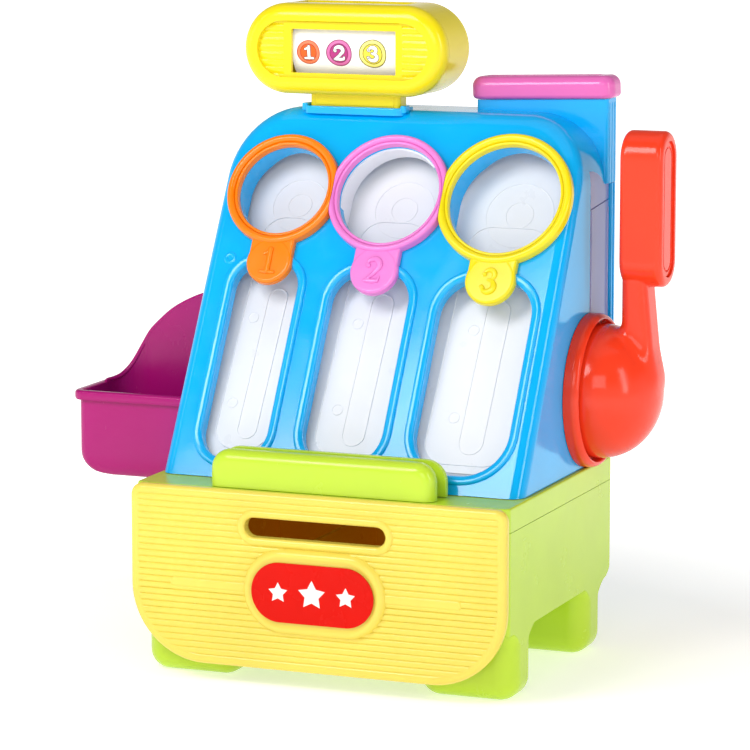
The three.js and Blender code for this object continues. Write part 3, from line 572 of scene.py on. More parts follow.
def sky():
    """A white surround that is brightest at the horizon and dimmer overhead."""
    world = bpy.data.worlds.new("surround")
    world.use_nodes = True
    tree = world.node_tree
    direction = tree.nodes.new("ShaderNodeTexCoord").outputs["Generated"]
    parts = tree.nodes.new("ShaderNodeSeparateXYZ")
    tree.links.new(direction, parts.inputs["Vector"])
    strength = remap(tree, parts.outputs["Z"], SKY_HORIZON, SKY_ABOVE, 0.10, 0.40)
    tree.links.new(strength, tree.nodes["Background"].inputs["Strength"])
    set_inputs(tree.nodes["Background"], {"Color": (1.0, 0.995, 0.985, 1)})
    bpy.context.scene.world = world


def floor():
    """White paper on a light table, which glows less near the object so that its shadow shows."""
    material, tree, shader, place = new_look("paper")
    grain = noise(tree, place, 400, 3)
    tree.links.new(remap(tree, grain, 0.85, 0.95), shader.inputs["Roughness"])
    set_inputs(shader, {
        "Base Color": (0.88, 0.875, 0.865, 1),
        "Specular IOR Level": 0.15,
        "Emission Color": (1.0, 0.99, 0.97, 1),
    })
    away = tree.nodes.new("ShaderNodeVectorMath")
    away.operation = "LENGTH"
    tree.links.new(place, away.inputs[0])
    glow = remap(tree, away.outputs["Value"], PAPER_GLOW_NEAR, PAPER_GLOW_FAR, 0.22, 0.5)
    tree.links.new(glow, shader.inputs["Emission Strength"])
    mesh = bpy.data.meshes.new("paper_floor")
    corners = [(PAPER_HALF * x, PAPER_HALF * y, 0) for x, y in ((-1, -1), (1, -1), (1, 1), (-1, 1))]
    mesh.from_pydata(corners, [], [(0, 1, 2, 3)])
    mesh.materials.append(material)
    add_object("paper_floor", mesh)


# ---- base

def leg(side, front):
    """A foot with a rounded underside that flares into the base above it."""
    inner, outer = LEG["inner"], BASE["half"]
    left, right = (inner, outer) if side > 0 else (-outer, -inner)
    outline = rounded(left, front, right, front + LEG["depth"], LEG["round"] + 0.6, 10)
    flare = 8.0
    angles = np.radians(np.linspace(0, 90, 7))
    levels = quarter(LEG["round"], 8)
    levels += [
        (-flare * (1 - math.cos(a)), BASE["floor"] + 0.8 - flare + flare * math.sin(a)) for a in angles
    ]
    levels.append((-flare, BASE["floor"] + 8))
    return loft([at_height(outline(inset), height) for inset, height in levels])


def base():
    half, front, back, seam, top = (BASE[key] for key in ("half", "front", "back", "seam", "top"))
    low, high = BASE["floor"], seam - 0.3
    side = rounded(front, low, back, high, [3, BASE["heel"], 0, 0], 10)
    outline = rounded(-half, front, half, back, 4, 6)
    tub = turn(SIDEWAYS, prism(fixed(side(0)), -half, half))
    legs = [leg(s, leg_front) for s in (-1, 1) for leg_front in LEG["fronts"]]
    body = common(join(tub, *legs), prism(outline, -1, high))
    hollow = block(3 - half, half - 3, 0, back - 3, low + 2.5, high + 1)
    piece("base_body", cut(body, hollow), GREEN, "base_tub")

    deck = prism(outline, seam, top, 0, 1.2, 4)
    under = block(2.5 - half, half - 2.5, front + 2.5, back - 2.5, seam - 1, top - 2.5)
    drops = [
        block(w["x"] - w["width"] / 2 - 2, w["x"] + w["width"] / 2 + 2, 35, 51, 80, 110)
        for w in WINDOWS
    ]
    piece("base_lid", cut(deck, under, *drops), GREEN, "base_deck")


# ---- drawer

RIB_PITCH = 3.19
RIB_CREST = 89.2
RIB_DEPTH = 0.95
ROWS_PER_RIB = 8
SLOT_Z = 81
LABEL_Z = 50
BOSS = stadium(0, LABEL_Z, 76, 43, 24)
LABEL = stadium(0, LABEL_Z, 65, 30, 24)


def ribbed_sheet(left, right, low, high, pitch, peak, depth, thick):
    """A sheet whose level ribs face -Y. One rib's crest is at the height of peak."""
    rows = []
    count = int((high - low) / pitch * ROWS_PER_RIB) + 1
    for k in range(count + 1):
        z = low + (high - low) * k / count
        phase = ((z - peak) / pitch) % 1.0
        rise = depth * math.sqrt(max(0.0, 1 - (2 * abs(phase - round(phase))) ** 2.2))
        rows.append((z, -rise))
    section = rows + [(high, thick), (low, thick)]
    return loft([np.array([(x, y, z) for z, y in section]) for x in (left, right)])


def drawer():
    half, bottom, top, thick = DRAWER["half"], DRAWER["bottom"], DRAWER["top"], DRAWER["thick"]
    plate = rounded(-half, bottom, half, top, [39, 39, 6, 6], 16)
    slab = turn(FACING, prism(plate, 2.2, thick, 0.0, 0.8))
    ribs = ribbed_sheet(-half, half, bottom, top, RIB_PITCH, RIB_CREST, RIB_DEPTH, 3.5)
    ribs = turn(Matrix.Translation((0, 1.15, 0)), ribs)
    ribs = common(ribs, turn(FACING, prism(fixed(plate(3.0)), -2, 4)))
    border = turn(FACING, band(plate, [
        (0, 4.2), (0, 2.6), (0.25, 1.6), (0.8, 0.75), (1.6, 0.2), (2.6, 0.0), (3.6, 0.08),
        (4.4, 0.4), (5.0, 1.0), (5.3, 2.0), (5.3, 4.2),
    ]))
    boss = turn(FACING, band(BOSS, [
        (0, 2.5), (0.15, 0.6), (0.7, -1.0), (1.7, -2.1), (2.8, -2.5), (3.8, -2.35), (4.6, -1.9),
        (5.3, -1.75), (5.9, -1.7), (12, -1.7), (12, 2.5),
    ]))
    boss_fill = turn(FACING, prism(fixed(BOSS(11.9)), -1.7, 2.5))
    mouth = stadium(0, SLOT_Z, 75, 10, 16)
    rim = turn(FACING, band(mouth, [
        (0, 4.5), (0, 0.6), (-0.3, -0.2), (-1.0, -0.8), (-1.9, -1.0), (-2.9, -0.8), (-3.6, -0.2),
        (-4.0, 0.8), (-4.0, 4.5),
    ]))
    bars = [
        turn(FACING, prism(stadium(x, 50.4, width, 5.4, 10), -0.3, 3, 1.6, 0, 6))
        for x, width in ((-56.5, 44), (56, 43))
    ]
    mouth_cut = turn(FACING, prism(mouth, -5, 10))
    front = join(slab, ribs, border, boss, boss_fill, *bars, rim)
    piece("drawer_face", cut(front, mouth_cut), DRAWER_YELLOW, "drawer_front",
          "drawer", 50)

    label_back = -BOSS_PROUD - 0.3
    field = turn(FACING, prism(LABEL, label_back - 0.35, label_back + 0.3, 0.25, 0, 3))
    piece("drawer_label_field", field, PRINT_RED, "drawer_label", "drawer")


def star(x, z, radius):
    angles = np.radians(90 + 36 * np.arange(10))
    sizes = np.where(np.arange(10) % 2 == 0, radius, radius * 0.52)
    return np.stack([x + sizes * np.cos(angles), z + sizes * np.sin(angles)], 1)


def label_stars():
    stars = []
    for x, radius in ((-18, 5.2), (0, 7.4), (18, 5.2)):
        stars.append(turn(FACING, prism(fixed(star(x, LABEL_Z, radius)), -3.45, -3.0)))
    piece("drawer_label_stars", merge(*stars), PRINT_WHITE, body="drawer")


# ---- card slot

def card_slot():
    low = BASE["top"] + 0.3
    bar = prism(rounded(-59.5, low - 12, 59.5, 117.5, 10, 12), 6, 18, 5.8, 5.5, 10)
    bar = cut(turn(FACING, bar), block(-80, 80, 0, 30, low - 20, low))
    piece("card_bar", bar, GREEN, "card_slot_block")
    plate = prism(rounded(-60.5, low, 60.5, 116.8, [0, 0, 11, 11], 12), 22.3, 25.6, 0.4, 0.4, 2)
    piece("card_back", turn(FACING, plate), GREEN, "card_slot_plate")


# ---- blue shell

def body_ring(grow, depth=None, y=None):
    """The body's outline from the front, on the leaning front (moved in by depth) or at one y."""
    half, top, corner = SHELL["half"] + grow, SHELL["top"] + grow, SHELL["corner"] + grow
    flat = rectangle(-half, SHELL["low"], half, top, [0, 0, corner, corner], 14)
    if y is None:
        ys = PANEL_FOOT[0] + (flat[:, 1] - PANEL_FOOT[1]) * math.tan(LEAN) + depth / math.cos(LEAN)
    else:
        ys = np.full(len(flat), y)
    return np.column_stack([flat[:, 0], ys, flat[:, 1]])


def body_solid(grow, back, edge, depth=0.0, steps=8):
    """The whole body, grown or moved in by depth, with a rounded edge round its leaning front."""
    angles = np.radians(np.linspace(0, 90, steps + 1))
    rings = [body_ring(grow, y=back)]
    for a in angles:
        rings.append(body_ring(grow - edge * (1 - math.cos(a)), depth=depth + edge * (1 - math.sin(a))))
    return loft(rings)


def window_outline(w):
    x, half = w["x"], w["width"] / 2
    radii = [w["corner_low"], w["corner_low"], w["corner_high"], w["corner_high"]]
    return rounded(x - half, w["low"], x + half, w["high"], radii, 14)


# The raised bead round a window, as (inset, height) points over the leaning front.
BEAD = [
    (0, -5.5), (0, -0.4), (-0.25, 0.5), (-0.9, 1.25), (-1.8, 1.6), (-2.8, 1.7), (-3.6, 1.75), (-4.1, 1.6),
    (-4.5, 1.2), (-4.75, 0.5), (-5.0, -0.6), (-2.0, -0.6), (-2.0, -5.5),
]


def mouth_wall(ring, stages):
    """The wall behind a mouth on its left and over its top. Each stage is (angle, depth)."""
    x, radius, thick = ring["x"], ring["inner"], 2.0
    angles = np.linspace(stages[0][0], stages[-1][0], 25)
    depths = np.interp(-angles, [-a for a, _ in stages], [depth for _, depth in stages])
    path = [((x - radius, RING_ALONG - 27), (-1, 0), stages[0][1])]
    for angle, depth in zip(np.radians(angles), depths):
        way = (math.cos(angle), math.sin(angle))
        path.append(((x + radius * way[0], RING_ALONG + radius * way[1]), way, depth))
    rings = []
    for (px, py), (nx, ny), depth in path:
        far = (px + thick * nx, py + thick * ny)
        rings.append(np.array([(px, py, -1), (*far, -1), (*far, -depth), (px, py, -depth)]))
    return turn(PANEL, loft(rings))


def shell():
    wall = SHELL["wall"]
    outer = body_solid(0, SHELL["back"], SHELL["edge"])
    inner = body_solid(-wall, SHELL["back"] + 5, SHELL["edge"] - wall, wall)
    inner[0][:, 2] = np.where(inner[0][:, 2] < SHELL["low"] + 0.01, SHELL["low"] - 5, inner[0][:, 2])
    collar = prism(rounded(-59.8, 127, -4.2, 147, 5, 8), SHELL["top"] - wall, 278.4, 0, 0.7, 4)
    clips = [
        prism(rounded(x - 1.6, 129, x + 1.6, 136, 1.2, 4), SHELL["top"] - 1, 279.6, 0, 0.6, 3)
        for x in (-59.4, -4.6)
    ]
    lips = [
        turn(PANEL, band(disc(r["x"], RING_ALONG, r["inner"] + 2), [(0, -5.5), (0, -1), (2, -1), (2, -5.5)]))
        for r in RINGS
    ]
    walls = [mouth_wall(r, [(180, 14.0), (130, 12.0), (80, 5.6)]) for r in (RINGS[0], RINGS[2])]
    beads = [turn(PANEL, band(window_outline(w), BEAD)) for w in WINDOWS]
    mouths = [turn(PANEL, prism(disc(r["x"], RING_ALONG, r["inner"]), -30, 10)) for r in RINGS]
    views = [turn(PANEL, prism(window_outline(w), -30, 10)) for w in WINDOWS]
    skin = join(cut(outer, inner), collar, *clips, *lips)
    skin = join(cut(skin, *mouths, *views), *beads, *walls)
    neck = block(-57.5, -6.5, 130.5, 142.5, 260, 290)
    chute = block(*CHUTE, 236, 290)
    bin_door = block(-110, -91, 78, 108, 140, 168)
    pane = turn(SIDEWAYS, prism(fixed(PANE_OPENING), 91, 110))
    pivot = turn(SIDEWAYS, prism(disc(PIVOT[1], PIVOT[2], 6.5, 32), 90, 110))
    piece("blue_shell", cut(skin, neck, chute, bin_door, pane, pivot), BLUE,
          "front_shell", angle=34)
    dimple = turn(PANEL, band(disc(-83.6, 119, 3.4, 40), [
        (0, 0.05), (0.5, 0.35), (1.2, 0.45), (1.9, 0.3), (2.3, 0.05), (2.3, -0.3), (0, -0.3),
    ]))
    piece("moulding_dimple", dimple, BLUE)

    cover = loft([body_ring(0, y=164.3), body_ring(0, y=167.2), body_ring(-0.8, y=168)])
    edge = prism(rounded(94, 159.9, 98.2, 168, [0.5, 0.5, 1.2, 0.3], 4), SHELL["low"], 241)
    ridges = [
        prism(rounded(97, y - 0.8, 98.75, y + 0.8, 0.3, 3), SHELL["low"], 241)
        for y in (160.8, 164.6)
    ]
    piece("back_cover", join(cover, edge, *ridges), BLUE, "rear_cover")


PANE_OPENING = np.array([
    (131, 160), (170, 160), (170, 241), (153, 241), (149, 244.5), (143, 247.5), (137, 249), (131, 249.6),
])


def side_pane():
    """The clear window: a flat pane, and over its seam a bulged top with a curved shoulder."""
    outer = body_solid(0, SHELL["back"] + 5, SHELL["edge"])
    inner = body_solid(-2.2, SHELL["back"] + 9, SHELL["edge"] - 2.2, 2.2)
    opening = prism(fixed(PANE_OPENING), 60, 110)
    pane = common(cut(outer, inner), turn(SIDEWAYS, opening), block(60, 110, 131.3, 159.5, 160.3, 249.3))
    groove = np.array([(120, 228.6), (170, 233.4), (170, 234.2), (120, 229.4)])
    seam = turn(SIDEWAYS, prism(fixed(groove), 96.2, 99))
    frame_bars = [
        prism(rounded(95.4, y - 0.7, 97.4, y + 0.7, 0.5, 3), 161, 229)
        for y in (132.6, 158.6)
    ]
    piece("side_pane", join(cut(pane, seam), *frame_bars), CLEAR, "side_window")


# ---- coin mouths

DIGIT_HEIGHT = 14.0


def sweep(x, y, radius, start, end, wide_start, wide_end, wide_middle, steps=14):
    """The part of a numeral that follows an arc, as points with half widths."""
    points = arc(x, y, radius, start, end, steps)
    share = np.linspace(0, 1, steps + 1)
    ends = wide_start + (wide_end - wide_start) * share
    widths = ends + (wide_middle - (wide_start + wide_end) / 2) * np.sin(share * math.pi)
    return [(tuple(p), w) for p, w in zip(points, widths)]


# The numerals' centre lines as points with half widths, in a box one unit high about the origin.
DIGIT_STROKES = {
    "1": [
        [((0.03, -0.42), 0.105), ((0.03, 0.44), 0.105)],
        [((-0.20, 0.26), 0.05), ((-0.08, 0.32), 0.07), ((0.03, 0.42), 0.08)],
        [((-0.22, -0.44), 0.065), ((0.28, -0.44), 0.065)],
    ],
    "2": [
        [((-0.23, 0.20), 0.09), ((-0.20, 0.18), 0.09)],
        [*sweep(-0.01, 0.20, 0.24, 165, -38, 0.05, 0.10, 0.115),
         ((0.02, -0.16), 0.075), ((-0.24, -0.40), 0.05)],
        [((-0.25, -0.41), 0.07), ((0.05, -0.42), 0.095), ((0.24, -0.40), 0.075), ((0.29, -0.24), 0.03)],
    ],
    "3": [
        [((-0.21, 0.27), 0.085), ((-0.19, 0.25), 0.085)],
        sweep(-0.01, 0.235, 0.195, 160, -80, 0.05, 0.045, 0.105),
        sweep(-0.02, -0.185, 0.235, 95, -160, 0.045, 0.05, 0.12),
        [((-0.23, -0.24), 0.09), ((-0.20, -0.27), 0.09)],
    ],
}


def raised_digit(digit, at):
    """A numeral in relief: round bars along its strokes, flattened against the surface."""
    bars = []
    for stroke in DIGIT_STROKES[digit]:
        path = [(x * DIGIT_HEIGHT, y * DIGIT_HEIGHT, 0) for (x, y), _ in stroke]
        widths = np.array([w * DIGIT_HEIGHT for _, w in stroke])
        bars.append(tube(path, widths, 14))
        for end in (0, -1):
            bars.append(turn(Matrix.Translation(path[end]), ball(widths[end])))
    return turn(Matrix.Translation(at) @ Matrix.Diagonal((1, 1, 0.8, 1)), join(*bars))


def ball(radius, rings=8, sides=14):
    levels = []
    for a in np.linspace(0.02, math.pi - 0.02, rings + 1):
        circle = arc(0, 0, radius * math.sin(a), 0, 360 - 360 / sides, sides - 1)
        levels.append(at_height(circle, -radius * math.cos(a)))
    return loft(levels)


def ridge_arch(start, width, foot, height, steps=12):
    """Half a round ridge as (inset, height) points."""
    return [
        (start + width / 2 * (1 - math.cos(a)), foot + (height - foot) * math.sin(a))
        for a in np.radians(np.linspace(0, 180, steps + 1))
    ]


def coin_mouths():
    colors = [(ORANGE, "orange_plastic"), (PINK, "pink_plastic"), (SIGN_YELLOW, "sign_yellow_plastic")]
    for i, (ring, (material, slot)) in enumerate(zip(RINGS, colors)):
        width = ring["outer"] - ring["inner"]
        profile = [(0, 0.3), (0, 2.2)]
        profile += ridge_arch(0.1, width - 2.0, 3.6, 5.6)
        profile += ridge_arch(width - 1.8, 1.6, 3.7, 4.3, 6)
        profile += [(width - 0.1, 2.2), (width - 0.1, 0.3)]
        hoop = band(disc(ring["x"], RING_ALONG, ring["outer"], 128), profile)
        tab_x = ring["x"] + 0.5
        tab_half, tab_low = ring["tab"], ring["tab_low"]
        tab_top = RING_ALONG - ring["inner"] - 1.4
        neck = prism(rounded(tab_x - tab_half + 0.7, tab_low + tab_half, tab_x + tab_half - 0.7, tab_top,
                             [2, 2, 0.5, 0.5], 8), 0.3, 4.0, 0, 1.2)
        end = prism(disc(tab_x, tab_low + tab_half, tab_half, 64), 0.3, 4.3, 0, 1.7)
        digit_y = (RING_ALONG - ring["outer"] + tab_low) / 2 + 1.2
        whole = join(hoop, neck, end, raised_digit(str(i + 1), (tab_x, digit_y, 4.6)))
        trimmed = common(whole, block(RING_MEETINGS[i] + 0.15, RING_MEETINGS[i + 1] - 0.15, 0, 300, -20, 20))
        piece(f"mouth_ring_{i + 1}", trimmed, material, f"coin_ring_{i + 1}", place=PANEL, angle=40)


INSERT_SLOPE = math.atan(0.06)
INSERT = PANEL @ Matrix.Translation((0, 0, -7.7)) @ Matrix.Rotation(-INSERT_SLOPE, 4, "X")


def insert_panel():
    """The white moulding behind the openings, with its faint relief."""
    half = SHELL["half"] - SHELL["wall"] - 2
    plate = prism(rounded(-half, 14.6, half, 201, [1, 1, 30, 30], 10), -1.5, 0)
    relief = []

    def line(outline, width=0.45, rise=0.4):
        crest = width * 0.6
        relief.append(band(outline, [(-width, -0.5), (-crest, rise), (crest, rise), (width, -0.5)]))

    for ring, radii in zip(RINGS, ((6.4, 15), (7, 16), (7.3, 18))):
        for radius in radii:
            line(disc(ring["x"] + 2, RING_ALONG, radius, 72), 0.35, 0.28)
    for w, track_half in zip(WINDOWS, (5.2, 6.0, 6.3)):
        line(rounded(w["x"] + 2 - track_half, 25, w["x"] + 2 + track_half, 109, track_half - 0.1, 12))
        line(rounded(w["x"] - w["width"] / 2 + 3, 19, w["x"] + w["width"] / 2 - 3, 150, 12, 12), 0.5, 0.5)
        for x, along in ((w["x"] - 9, 92), (w["x"] - 9.5, 44)):
            line(disc(x, along, 2.8, 32), 0.3, 0.35)
    plate = turn(INSERT, join(plate, *relief))
    ribs = [
        turn(PANEL, block(x - 1, x + 1, 22, 119, -15, -6.5))
        for x in (-half + 1, RING_MEETINGS[1], RING_MEETINGS[2], half - 1)
    ]
    piece("white_insert", join(plate, *ribs), WHITE, "coin_back_panel")
    sleeve = mouth_wall({**RINGS[1], "inner": RINGS[1]["inner"] - 0.9},
                        [(180, 14.5), (130, 12.5), (90, 10), (40, 5.6)])
    piece("white_sleeve", sleeve, WHITE)


# ---- tower and bezel

TILT = math.radians(2)


def tower():
    left, right, front, back, height = 27, 98.5, 153, 168, 283.3
    middle_x, middle_y = (left + right) / 2, (front + back) / 2
    top = Matrix.Translation((middle_x, middle_y, height)) @ Matrix.Rotation(-TILT, 4, "Y")
    mast = prism(rounded(left, front, right, back, 2, 6), TOWER_LOW, 295)
    above = turn(top, block(-100, 100, -50, 50, 0, 60))
    chute = block(*CHUTE, 200, 320)
    body = body_solid(-0.25, 400, SHELL["edge"])
    ridges = [
        prism(rounded(right - 1.2, y - 0.8, right + 0.25, y + 0.8, 0.3, 3), TOWER_LOW, height - 1)
        for y in (156.5, 160.5, 164.6)
    ]
    piece("tower_mast", cut(join(mast, *ridges), above, chute, body), BLUE, "coin_tower")

    half, deep = (right - left) / 2 + 3, (back - front) / 2 + 3
    rim = prism(rounded(-half, -deep, half, deep, 7, 12), 0.3, 12, 2.4, 5.2, 9)
    slot_x, slot_y = (CHUTE[0] + CHUTE[1]) / 2 - middle_x, (CHUTE[2] + CHUTE[3]) / 2 - middle_y
    slot = prism(rounded(slot_x - 31, slot_y - 3.2, slot_x + 31, slot_y + 3.2, 1.2, 4), -5, 20)
    piece("tower_bezel", cut(rim, slot), BEZEL_PINK, "slot_bezel", place=top)


# ---- coin bin

BIN = {"left": -158.4, "right": -97.4, "front": 59.6, "back": 113, "bottom": 88.5, "rim": 133, "corner": 18}
BIN_SWEEP = [
    (-158.4, 133.0), (-157.2, 133.3), (-154.7, 135.0), (-150.4, 140.5), (-145.1, 150.0), (-140.4, 157.5),
    (-134.0, 164.0), (-127.5, 169.5), (-120.0, 174.0), (-112.0, 177.6), (-104.0, 180.0), (-97.4, 181.0),
]


def through(points, steps=6):
    """A smooth line through the points (Catmull-Rom)."""
    points = np.asarray(points, float)
    padded = np.vstack([2 * points[0] - points[1], points, 2 * points[-1] - points[-2]])
    line = []
    for a, b, c, d in zip(padded, padded[1:], padded[2:], padded[3:]):
        for t in np.arange(steps) / steps:
            line.append(0.5 * (2 * b + (c - a) * t + (2 * a - 5 * b + 4 * c - d) * t ** 2
                               + (3 * b - a - 3 * c + d) * t ** 3))
    return np.array(line + [points[-1]])


def coin_bin():
    left, right, front, back = BIN["left"], BIN["right"], BIN["front"], BIN["back"]
    bottom, rim, corner = BIN["bottom"], BIN["rim"], BIN["corner"]
    over = right + 30

    def tub(inset, low, high):
        rings = []
        for i, rise in quarter(12.5 - inset, 9):
            radii = [max(5.2 - inset, i * 0.8), 0.1, 0.1, max(corner - inset - i, 3)]
            ring = rounded(left + inset + i, front + inset + 0.45 * i, over, back - inset - i, radii, 14)
            rings.append(at_height(ring(0), low + rise))
        radii = [5.2 - inset, 0.1, 0.1, corner - inset]
        rings.append(at_height(rounded(left + inset, front + inset, over, back - inset, radii, 14)(0), high))
        return loft(rings)

    sweep = through(BIN_SWEEP)
    above = np.concatenate([[(-170, 133)], sweep, [(over, 181), (over, 260), (-170, 260)]])
    walls = cut(tub(0, bottom, 200), tub(2, bottom + 2, 210))
    walls = cut(
        walls,
        turn(FACING, prism(fixed(above), 90, 130)),
        block(-200, over + 1, 0, 90.5, rim - 0.6, 260),
    )
    lip = band(rounded(left - 2.6, front - 2.6, over, back + 3, [7, 0.1, 0.1, corner + 2.6], 14), [
        (0.5, rim - 4.8), (0.1, rim - 4.2), (0, rim - 3.4), (0, rim - 1.5), (0.3, rim - 0.6), (1.1, rim),
        (3.6, rim), (4.3, rim - 0.4), (4.6, rim - 1.2), (4.6, rim - 4.8),
    ])
    lip = join(common(lip, block(-200, over, 0, 92, 0, 300)), common(lip, block(-200, -151, 0, 130, 0, 300)))
    edge = []
    for x, z in sweep:
        reach = min(x - left, corner)
        y = back - corner + math.sqrt(max(corner ** 2 - (corner - reach) ** 2, 0))
        edge.append((x + 0.9 * (corner - reach) / corner, y - 1.0, z))
    bead = tube([(left + 0.9, 91, rim - 1.1), *edge], 1.3, 12)
    trim = block(-200, right, 0, back + 0.2, 0, 300)
    piece("bin_body", common(join(walls, lip, bead), trim), MAGENTA, "coin_bin")


# ---- sign

SIGN_Z = 307.95
SIGN_SCREWS = (-77.9, 8.1)
SIGN = stadium(-34.9, SIGN_Z, 112.4, 46.9, 24)
SIGN_VIEW = {"left": -64, "right": -6, "low": 295.7, "high": 318.2}


def sign():
    left, right, low, high = SIGN_VIEW.values()
    whole = turn(FACING, prism(SIGN, 120, 163, 7, 7, 10))
    rim = common(whole, block(-200, 200, 0, 128, 200, 400))
    recess = turn(FACING, prism(fixed(SIGN(8.85)), 119, 123.4))
    hollow = turn(FACING, prism(fixed(SIGN(2.5)), 124.8, 129))
    view = block(left, right, 100, 140, low, high)
    face = cut(rim, recess, hollow, view)
    around = rounded(left - 4.5, low - 4.4, right + 3.8, high + 4.2, 0.4, 2)
    border = cut(
        turn(FACING, prism(around, 122.5, 124, 0.5, 0, 3)),
        turn(FACING, prism(rounded(left, low, right, high, 0.3, 2), 110, 130)),
    )
    border = common(border, turn(FACING, prism(fixed(SIGN(8.4)), 110, 130)))
    ribs = ribbed_sheet(-88, 20, 290, 326, 3.6, 308, 0.8, 1.4)
    ribs = turn(Matrix.Translation((0, 123.3, 0)), ribs)
    ribs = common(ribs, turn(FACING, prism(fixed(SIGN(8.2)), 110, 130)))
    ribs = cut(ribs, block(left - 2, right + 2, 100, 140, low - 8, high + 8))
    piece("sign_face", join(face, border, ribs), SIGN_YELLOW, "sign_bezel", angle=45)

    head = common(whole, block(-200, 200, 128.3, 200, 200, 400))
    inside = turn(FACING, prism(fixed(SIGN(2.5)), 120, 161.4, 0, 5, 6))
    neck = prism(rounded(-57, 131, -7, 142, 2, 6), 272, 287.2)
    neck_hollow = prism(rounded(-54.5, 133.5, -9.5, 139.5, 1, 3), 260, 300)
    neck_panel = prism(rounded(-54, 130.5, -10, 133, 0.6, 3), 279, 285)
    thumb = block(-66.5, -4.5, 135, 151, 320, 340)
    holes = [turn(FACING, prism(disc(x, SIGN_Z, 1.7, 20), 150, 180)) for x in SIGN_SCREWS]
    rear = cut(join(cut(head, inside), neck, neck_panel), neck_hollow, thumb, *holes)
    piece("sign_rear", rear, SIGN_YELLOW, "sign_back")


DRUM = {"y": 143.0, "z": 308.5, "radius": 17.5, "bore": 2.6, "middle": -35.6, "half": 29.5, "round": 0.3}
COINS = [
    {"x": -55.7, "radius": 6.45,
     "dark": (0.45, 0.03, 0.0), "mid": (0.74, 0.10, 0.0), "light": (0.74, 0.19, 0.08)},
    {"x": -38.6, "radius": 7.2,
     "dark": (0.22, 0.008, 0.09), "mid": (0.42, 0.02, 0.19), "light": (0.62, 0.14, 0.38)},
    {"x": -19.9, "radius": 7.65,
     "dark": (0.16, 0.13, 0.01), "mid": (0.85, 0.72, 0.05), "light": (0.88, 0.80, 0.20)},
]
COIN_HEIGHT = -2.5
# The numerals from left to right at each turn of the drum, in degrees.
DRUM_ORDERS = {0: "123", 90: "231", 180: "312", 270: "132"}
# Inks lie on each other a few hundredths of a millimetre apart: ink, share of the coin or rim, rise.
COIN_DISCS = [("dark", 1, 0.03), ("light", 0.93, 0.05), ("dark", 0.72, 0.07), ("mid", 0.66, 0.09)]
COIN_DIGITS = [("edge", 0.42, 0.11), ("white", 0.12, 0.13)]
DIGIT_SIZE = 1.05
DIGIT_SPREAD = 1.3


def on_drum(points, angle, rise):
    """Flat (x, height) points wrapped round the drum, rise above its surface, at a turn of the drum."""
    around = points[:, 1] / DRUM["radius"] + angle
    reach = DRUM["radius"] + rise
    return np.column_stack([
        points[:, 0],
        DRUM["y"] - reach * np.cos(around),
        DRUM["z"] + reach * np.sin(around),
    ])


def printed_disc(x, height, radius, angle, rise, rings=6):
    """A thin round patch on the drum, in nested circles that shrink to its middle."""
    circles = [arc(x, height, radius * (1 - k / rings * 0.97), 0, 354, 59) for k in range(rings)]
    count = len(circles[0])
    faces = []
    for start in range(0, (rings - 1) * count, count):
        for i in range(count):
            j = (i + 1) % count
            faces.append((start + i, start + j, start + count + j, start + count + i))
    faces.append(tuple((rings - 1) * count + i for i in range(count)))
    return np.concatenate([on_drum(circle, angle, rise) for circle in circles]), faces


def printed_stroke(stroke, x, height, size, extra, angle, rise):
    """A numeral's stroke on the drum, as wide as drawn plus extra on each side."""
    share = np.linspace(0, len(stroke) - 1, 8 * (len(stroke) - 1) + 1)
    columns = np.array([
        (x + DIGIT_SPREAD * px * size, height + py * size, w * size + extra) for (px, py), w in stroke
    ]).T
    across, up, widths = (np.interp(share, np.arange(len(stroke)), column) for column in columns)
    points = np.column_stack([across, up])
    ahead = np.vstack([points[1:], points[-1:]]) - np.vstack([points[:1], points[:-1]])
    ahead /= np.linalg.norm(ahead, axis=1)[:, None]
    side = np.column_stack([-ahead[:, 1], ahead[:, 0]]) * widths[:, None]
    verts = on_drum(np.vstack([points + side, points - side]), angle, rise)
    count = len(points)
    faces = [(i, i + 1, count + i + 1, count + i) for i in range(count - 1)]
    caps = [printed_disc(*points[end], widths[end] * 0.98, angle, rise) for end in (0, -1)]
    return merge((verts, faces), *caps)


def drum():
    radius, bore, half, edge = DRUM["radius"], DRUM["bore"], DRUM["half"], DRUM["round"]
    profile = [
        (bore, -half), (radius - edge, -half), (radius, edge - half), (radius, half - edge),
        (radius - edge, half), (bore, half),
    ]
    barrel = turn(Matrix.Translation((DRUM["middle"], DRUM["y"], DRUM["z"])), lathe(profile, 96))
    piece("drum_barrel", barrel, DRUM_WHITE, "sign_drum", "sign_drum")
    for i, coin in enumerate(COINS):
        x, size = coin["x"], coin["radius"]
        inks = {
            ink: plastic(f"coin_{i + 1}_{ink}", coin[ink], 0.35, grain=0.1)
            for ink in ("dark", "mid", "light")
        }
        inks |= {"edge": PRINT_DARK, "white": PRINT_WHITE}
        patches = {ink: [] for ink in inks}
        for degrees, digits in DRUM_ORDERS.items():
            angle = math.radians(degrees)
            for ink, share, rise in COIN_DISCS:
                patches[ink].append(printed_disc(x, COIN_HEIGHT, size * share, angle, rise))
            for stroke in DIGIT_STROKES[digits[i]]:
                for ink, extra, rise in COIN_DIGITS:
                    patches[ink].append(
                        printed_stroke(stroke, x, COIN_HEIGHT, size * DIGIT_SIZE, extra, angle, rise))
        for ink, material in inks.items():
            name = f"drum_coin_{i + 1}_{ink}"
            add_piece(name, raw_mesh(merge(*patches[ink]), name), material, "sign_drum")


# ---- lever

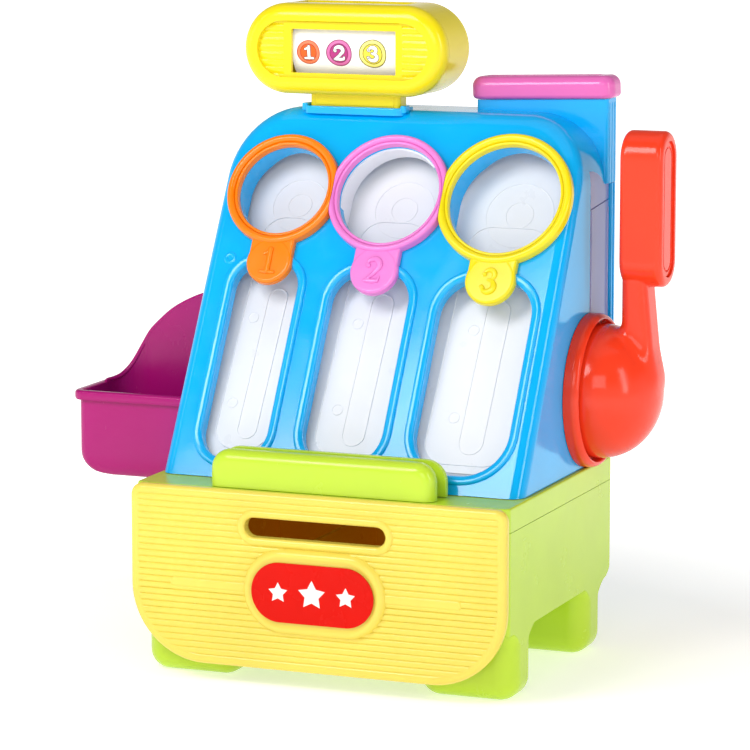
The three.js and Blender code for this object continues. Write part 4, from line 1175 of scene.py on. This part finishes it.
# All from the pivot. The dome is half an ellipsoid; the arm leans outwards towards its foot.
DOME = {"radius": 34.2, "start": 9, "reach": 30.2, "mean": 32.5, "foot": 2.6}
ARM = {"left": 20.0, "right": 33.3, "spread": 3.8, "half_depth": 10, "round": 5, "top": 60, "foot": 4}
GRIP = {"x": 31.2, "half": 11.2, "z": 94.1, "half_length": 39.4, "radius": 14, "round": 3.2}
LEVER_RING = [
    (39.4, 0.3), (39.4, 4.2), (39.2, 5.4), (38.7, 6.6), (37.9, 7.5), (37.2, 7.9), (36.6, 7.8), (36.1, 7.2),
    (35.9, 6.2), (35.9, 1.9), (4.4, 1.9), (4.4, 0.3),
]


def rounded_box(edge_a, edge_b, radius):
    """Distance to a section's outline with round edges, from the distances inside its two sides."""
    a, b = edge_a + radius, edge_b + radius
    return np.hypot(np.maximum(a, 0), np.maximum(b, 0)) + np.minimum(np.maximum(a, b), 0) - radius


def lever_distance(points):
    """Distance to the hub's dome, the arm and the grip."""
    x, y, z = points.T
    scaled = np.hypot(np.hypot(y, z) / DOME["radius"], np.maximum(x - DOME["start"], 0) / DOME["reach"])
    dome = smooth_max((scaled - 1) * DOME["mean"], DOME["foot"] - x, 1.5)

    share = np.clip((54.7 - z) / 37, -0.2, 1.35)
    left, right = ARM["left"], ARM["right"] + ARM["spread"] * share
    middle, half = (left + right) / 2, (right - left) / 2
    section = rounded_box(np.abs(x - middle) - half, np.abs(y) - ARM["half_depth"], ARM["round"])
    arm = smooth_max(np.maximum(section, z - ARM["top"]), ARM["foot"] - z, 8)

    straight = GRIP["half_length"] - GRIP["radius"]
    outline = np.hypot(y, np.maximum(np.abs(z - GRIP["z"]) - straight, 0)) - GRIP["radius"]
    grip = rounded_box(np.abs(x - GRIP["x"]) - GRIP["half"], outline, GRIP["round"])
    return np.minimum(smooth_min(dome, arm, 6), grip)


def lever():
    place = Matrix.Translation(PIVOT)
    shape = surface(lever_distance, (2, -35, -35), (43, 35, 134), 0.9)
    recess = turn(SIDEWAYS, prism(rounded(-9, 59.7, 9, 128.5, 8.95, 14), 40.6, 60))
    piece("lever_body", cut(shape, recess), RED, "lever_arm", "lever", 50, place)
    outline = rounded(-8.7, 60, 8.7, 128.2, 8.65, 14)
    cap = turn(SIDEWAYS, prism(outline, 39, 41.5, 0, 0.5, 3))
    groove = turn(SIDEWAYS, band(outline, [(2.4, 42), (2.4, 41.1), (2.9, 40.8), (3.4, 41.1), (3.4, 42)]))
    piece("lever_cap", cut(cap, groove), RED, "lever_grip_cap", "lever", place=place)
    piece("lever_ring", lathe(LEVER_RING, 128), RED, "lever_flange", place=place)


# ---- assembly

studio()
sky()
floor()
base()
drawer()
label_stars()
card_slot()
shell()
side_pane()
coin_mouths()
insert_panel()
tower()
coin_bin()
sign()
drum()
lever()

# The CAD nodes that keep their own shape. Those not named here are steel.
CAD_MATERIALS = {
    "drawer_tray": TRAY_YELLOW, "drawer_latch": GREY, "lever_cam": GREY, "mechanism_frame": GREY,
    "latch_link": GREY, "bell_post": GREY, "bell_hammer": GREY, "coin_gate": WHITE, "coin_ramp": WHITE,
}
for node_name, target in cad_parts.items():
    if not target.hide_render:
        paint(target, CAD_MATERIALS.get(node_name, STEEL))
